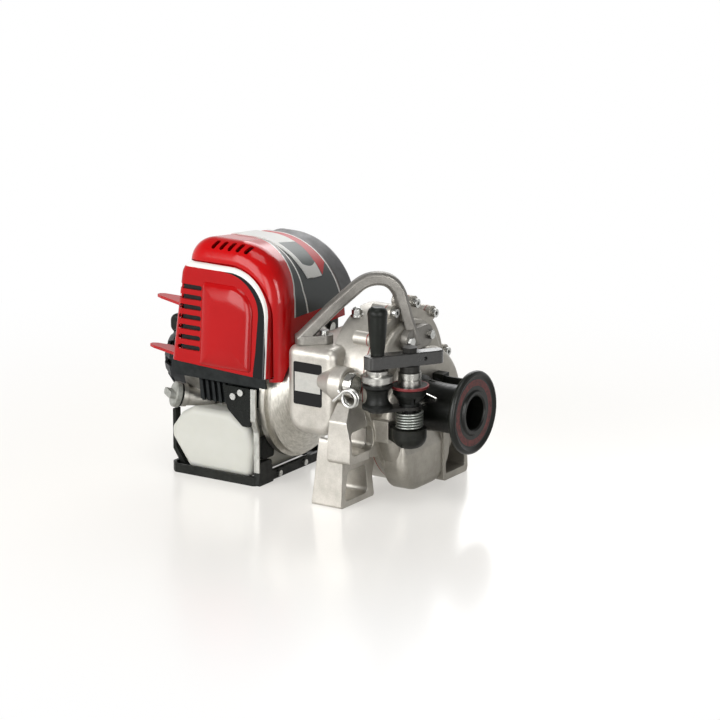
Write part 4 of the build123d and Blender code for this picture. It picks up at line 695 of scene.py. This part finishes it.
taper = add(tree, "MapRange", {"Value": parts["X"], "From Min": STRIPE_START * MM, "From Max": STRIPE_FULL * MM,
                               "To Min": 0.0, "To Max": STRIPE_WIDE * MM})
widen = add(tree, "MapRange", {"Value": parts["Z"], "From Min": WIDER_FOOT * MM, "From Max": WIDER_TOP * MM,
                               "To Min": WIDER_BY * MM, "To Max": 0.0})
wide = add(tree, "Math", {0: taper.outputs["Result"], 1: widen.outputs["Result"]}, operation="ADD")
black_from = add(tree, "Math", {0: white_from, 1: wide.outputs[0]}, operation="SUBTRACT")
past_white = add(tree, "Math", {0: reach, 1: white_from}, operation="GREATER_THAN")
in_rim = add(tree, "Math", {0: reach, 1: GUARD_RIM * MM}, operation="LESS_THAN")
white = add(tree, "Math", {0: past_white.outputs[0], 1: in_rim.outputs[0]}, operation="MULTIPLY")
past_black = add(tree, "Math", {0: reach, 1: black_from.outputs[0]}, operation="GREATER_THAN")
before_white = add(tree, "Math", {0: reach, 1: white_from}, operation="LESS_THAN")
right = add(tree, "Math", {0: parts["X"], 1: STRIPE_START * MM}, operation="GREATER_THAN")
black = add(tree, "Math", {0: past_black.outputs[0], 1: before_white.outputs[0]}, operation="MULTIPLY")
black = add(tree, "Math", {0: black.outputs[0], 1: right.outputs[0]}, operation="MULTIPLY")
red = red_skin(tree, place, "#b00508", "#be080c")
striped = add(tree, "Mix", {0: black.outputs[0], "A": red, "B": linear("#0c0f11")}, data_type="RGBA")
banded = add(tree, "Mix", {0: white.outputs[0], "A": striped.outputs["Result"], "B": linear("#f2f0eb")},
             data_type="RGBA")
tree.links.new(banded.outputs["Result"], surface["Base Color"])
dress(guard_material, "muffler_guard")

# Swell of the guard. The middle of the moulding stands out of its leaning face as a soft cushion, steep at
# its border and nearly flat in the middle; it is the same red shell and carries the guard's finish. The
# sheet's border lies inside the guard's wall.
GUARD_SLOPE = 0.0755
GUARD_LEAN = math.atan(GUARD_SLOPE)
GUARD_FOOT = Vector((0.0, -95.6, 117.0)) * MM
SWELL_MIDDLE = Vector((-54.1, 4.2, 47.0)) * MM
SWELL_HALF = Vector((31.1, 0.0, 42.5)) * MM
SWELL_CORNERS = {(1, 1): 28.0, (-1, 1): 6.0, (1, -1): 4.0, (-1, -1): 4.0}
SWELL_RISE = 8.0
SWELL_REACH = 26.0
SWELL_POWER = 2.4
SWELL_WALL = 0.8
SWELL_ACROSS, SWELL_UP = 84, 114
swell = bmesh.new()
bmesh.ops.create_grid(swell, x_segments=SWELL_ACROSS, y_segments=SWELL_UP, size=1.0)
bmesh.ops.rotate(swell, cent=(0, 0, 0), matrix=Matrix.Rotation(math.radians(90), 3, "X"), verts=swell.verts)
for vert in swell.verts:
    side, top = (1 if vert.co.x > 0 else -1), (1 if vert.co.z > 0 else -1)
    radius = SWELL_CORNERS[side, top] * MM
    past_side = abs(vert.co.x) * SWELL_HALF.x - SWELL_HALF.x + radius
    past_top = abs(vert.co.z) * SWELL_HALF.z - SWELL_HALF.z + radius
    round_corner = math.hypot(max(past_side, 0.0), max(past_top, 0.0))
    outside = round_corner + min(max(past_side, past_top), 0.0) - radius
    inward = min(max(-outside / (SWELL_REACH * MM), 0.0), 1.0)
    vert.co.y = -SWELL_RISE * MM * (1 - (1 - inward) ** SWELL_POWER) ** (1 / SWELL_POWER)
bmesh.ops.scale(swell, vec=(SWELL_HALF.x, 1, SWELL_HALF.z), verts=swell.verts)
bmesh.ops.translate(swell, vec=SWELL_MIDDLE, verts=swell.verts)
bmesh.ops.solidify(swell, geom=swell.faces[:], thickness=SWELL_WALL * MM)
for face in swell.faces:
    face.smooth = True
bmesh.ops.rotate(swell, cent=(0, 0, 0), matrix=Matrix.Rotation(-GUARD_LEAN, 3, "X"), verts=swell.verts)
bmesh.ops.translate(swell, vec=GUARD_FOOT, verts=swell.verts)
piece("guard_swell", swell, guard_material)

# Dark sheet behind the guard's slots. A thin leaf in the muffler's dark finish, painted shade that keeps the
# exhaust box out of sight through the slots; it is held by the guard and leans as the guard's face does.
SHADE_SHEET_MIDDLE = Vector((-97.0, -85.3, 166.0)) * MM
SHADE_SHEET_SIZE = Vector((25.0, 0.6, 76.0)) * MM
# The dark sheet is painted shade in the slots.
shade_sheet = bmesh.new()
bmesh.ops.create_cube(shade_sheet, size=1.0)
bmesh.ops.scale(shade_sheet, vec=SHADE_SHEET_SIZE, verts=shade_sheet.verts)
bmesh.ops.rotate(shade_sheet, cent=(0, 0, 0), matrix=Matrix.Rotation(-GUARD_LEAN, 3, "X"), verts=shade_sheet.verts)
bmesh.ops.translate(shade_sheet, vec=SHADE_SHEET_MIDDLE, verts=shade_sheet.verts)
piece("slot_shade_sheet", shade_sheet, hot_steel)

# Rear cowl. Mid-grey moulded plastic, clipped on behind the hood, that carries the hood's arch on over the
# carburettor; dull, with faint paler patches.
cowl_grey = rubbed_finish("grey_moulded_cowl", "#6a6a6b", "#7e7e7e", 14, 0.4)
dress(cowl_grey, "rear_cowl")
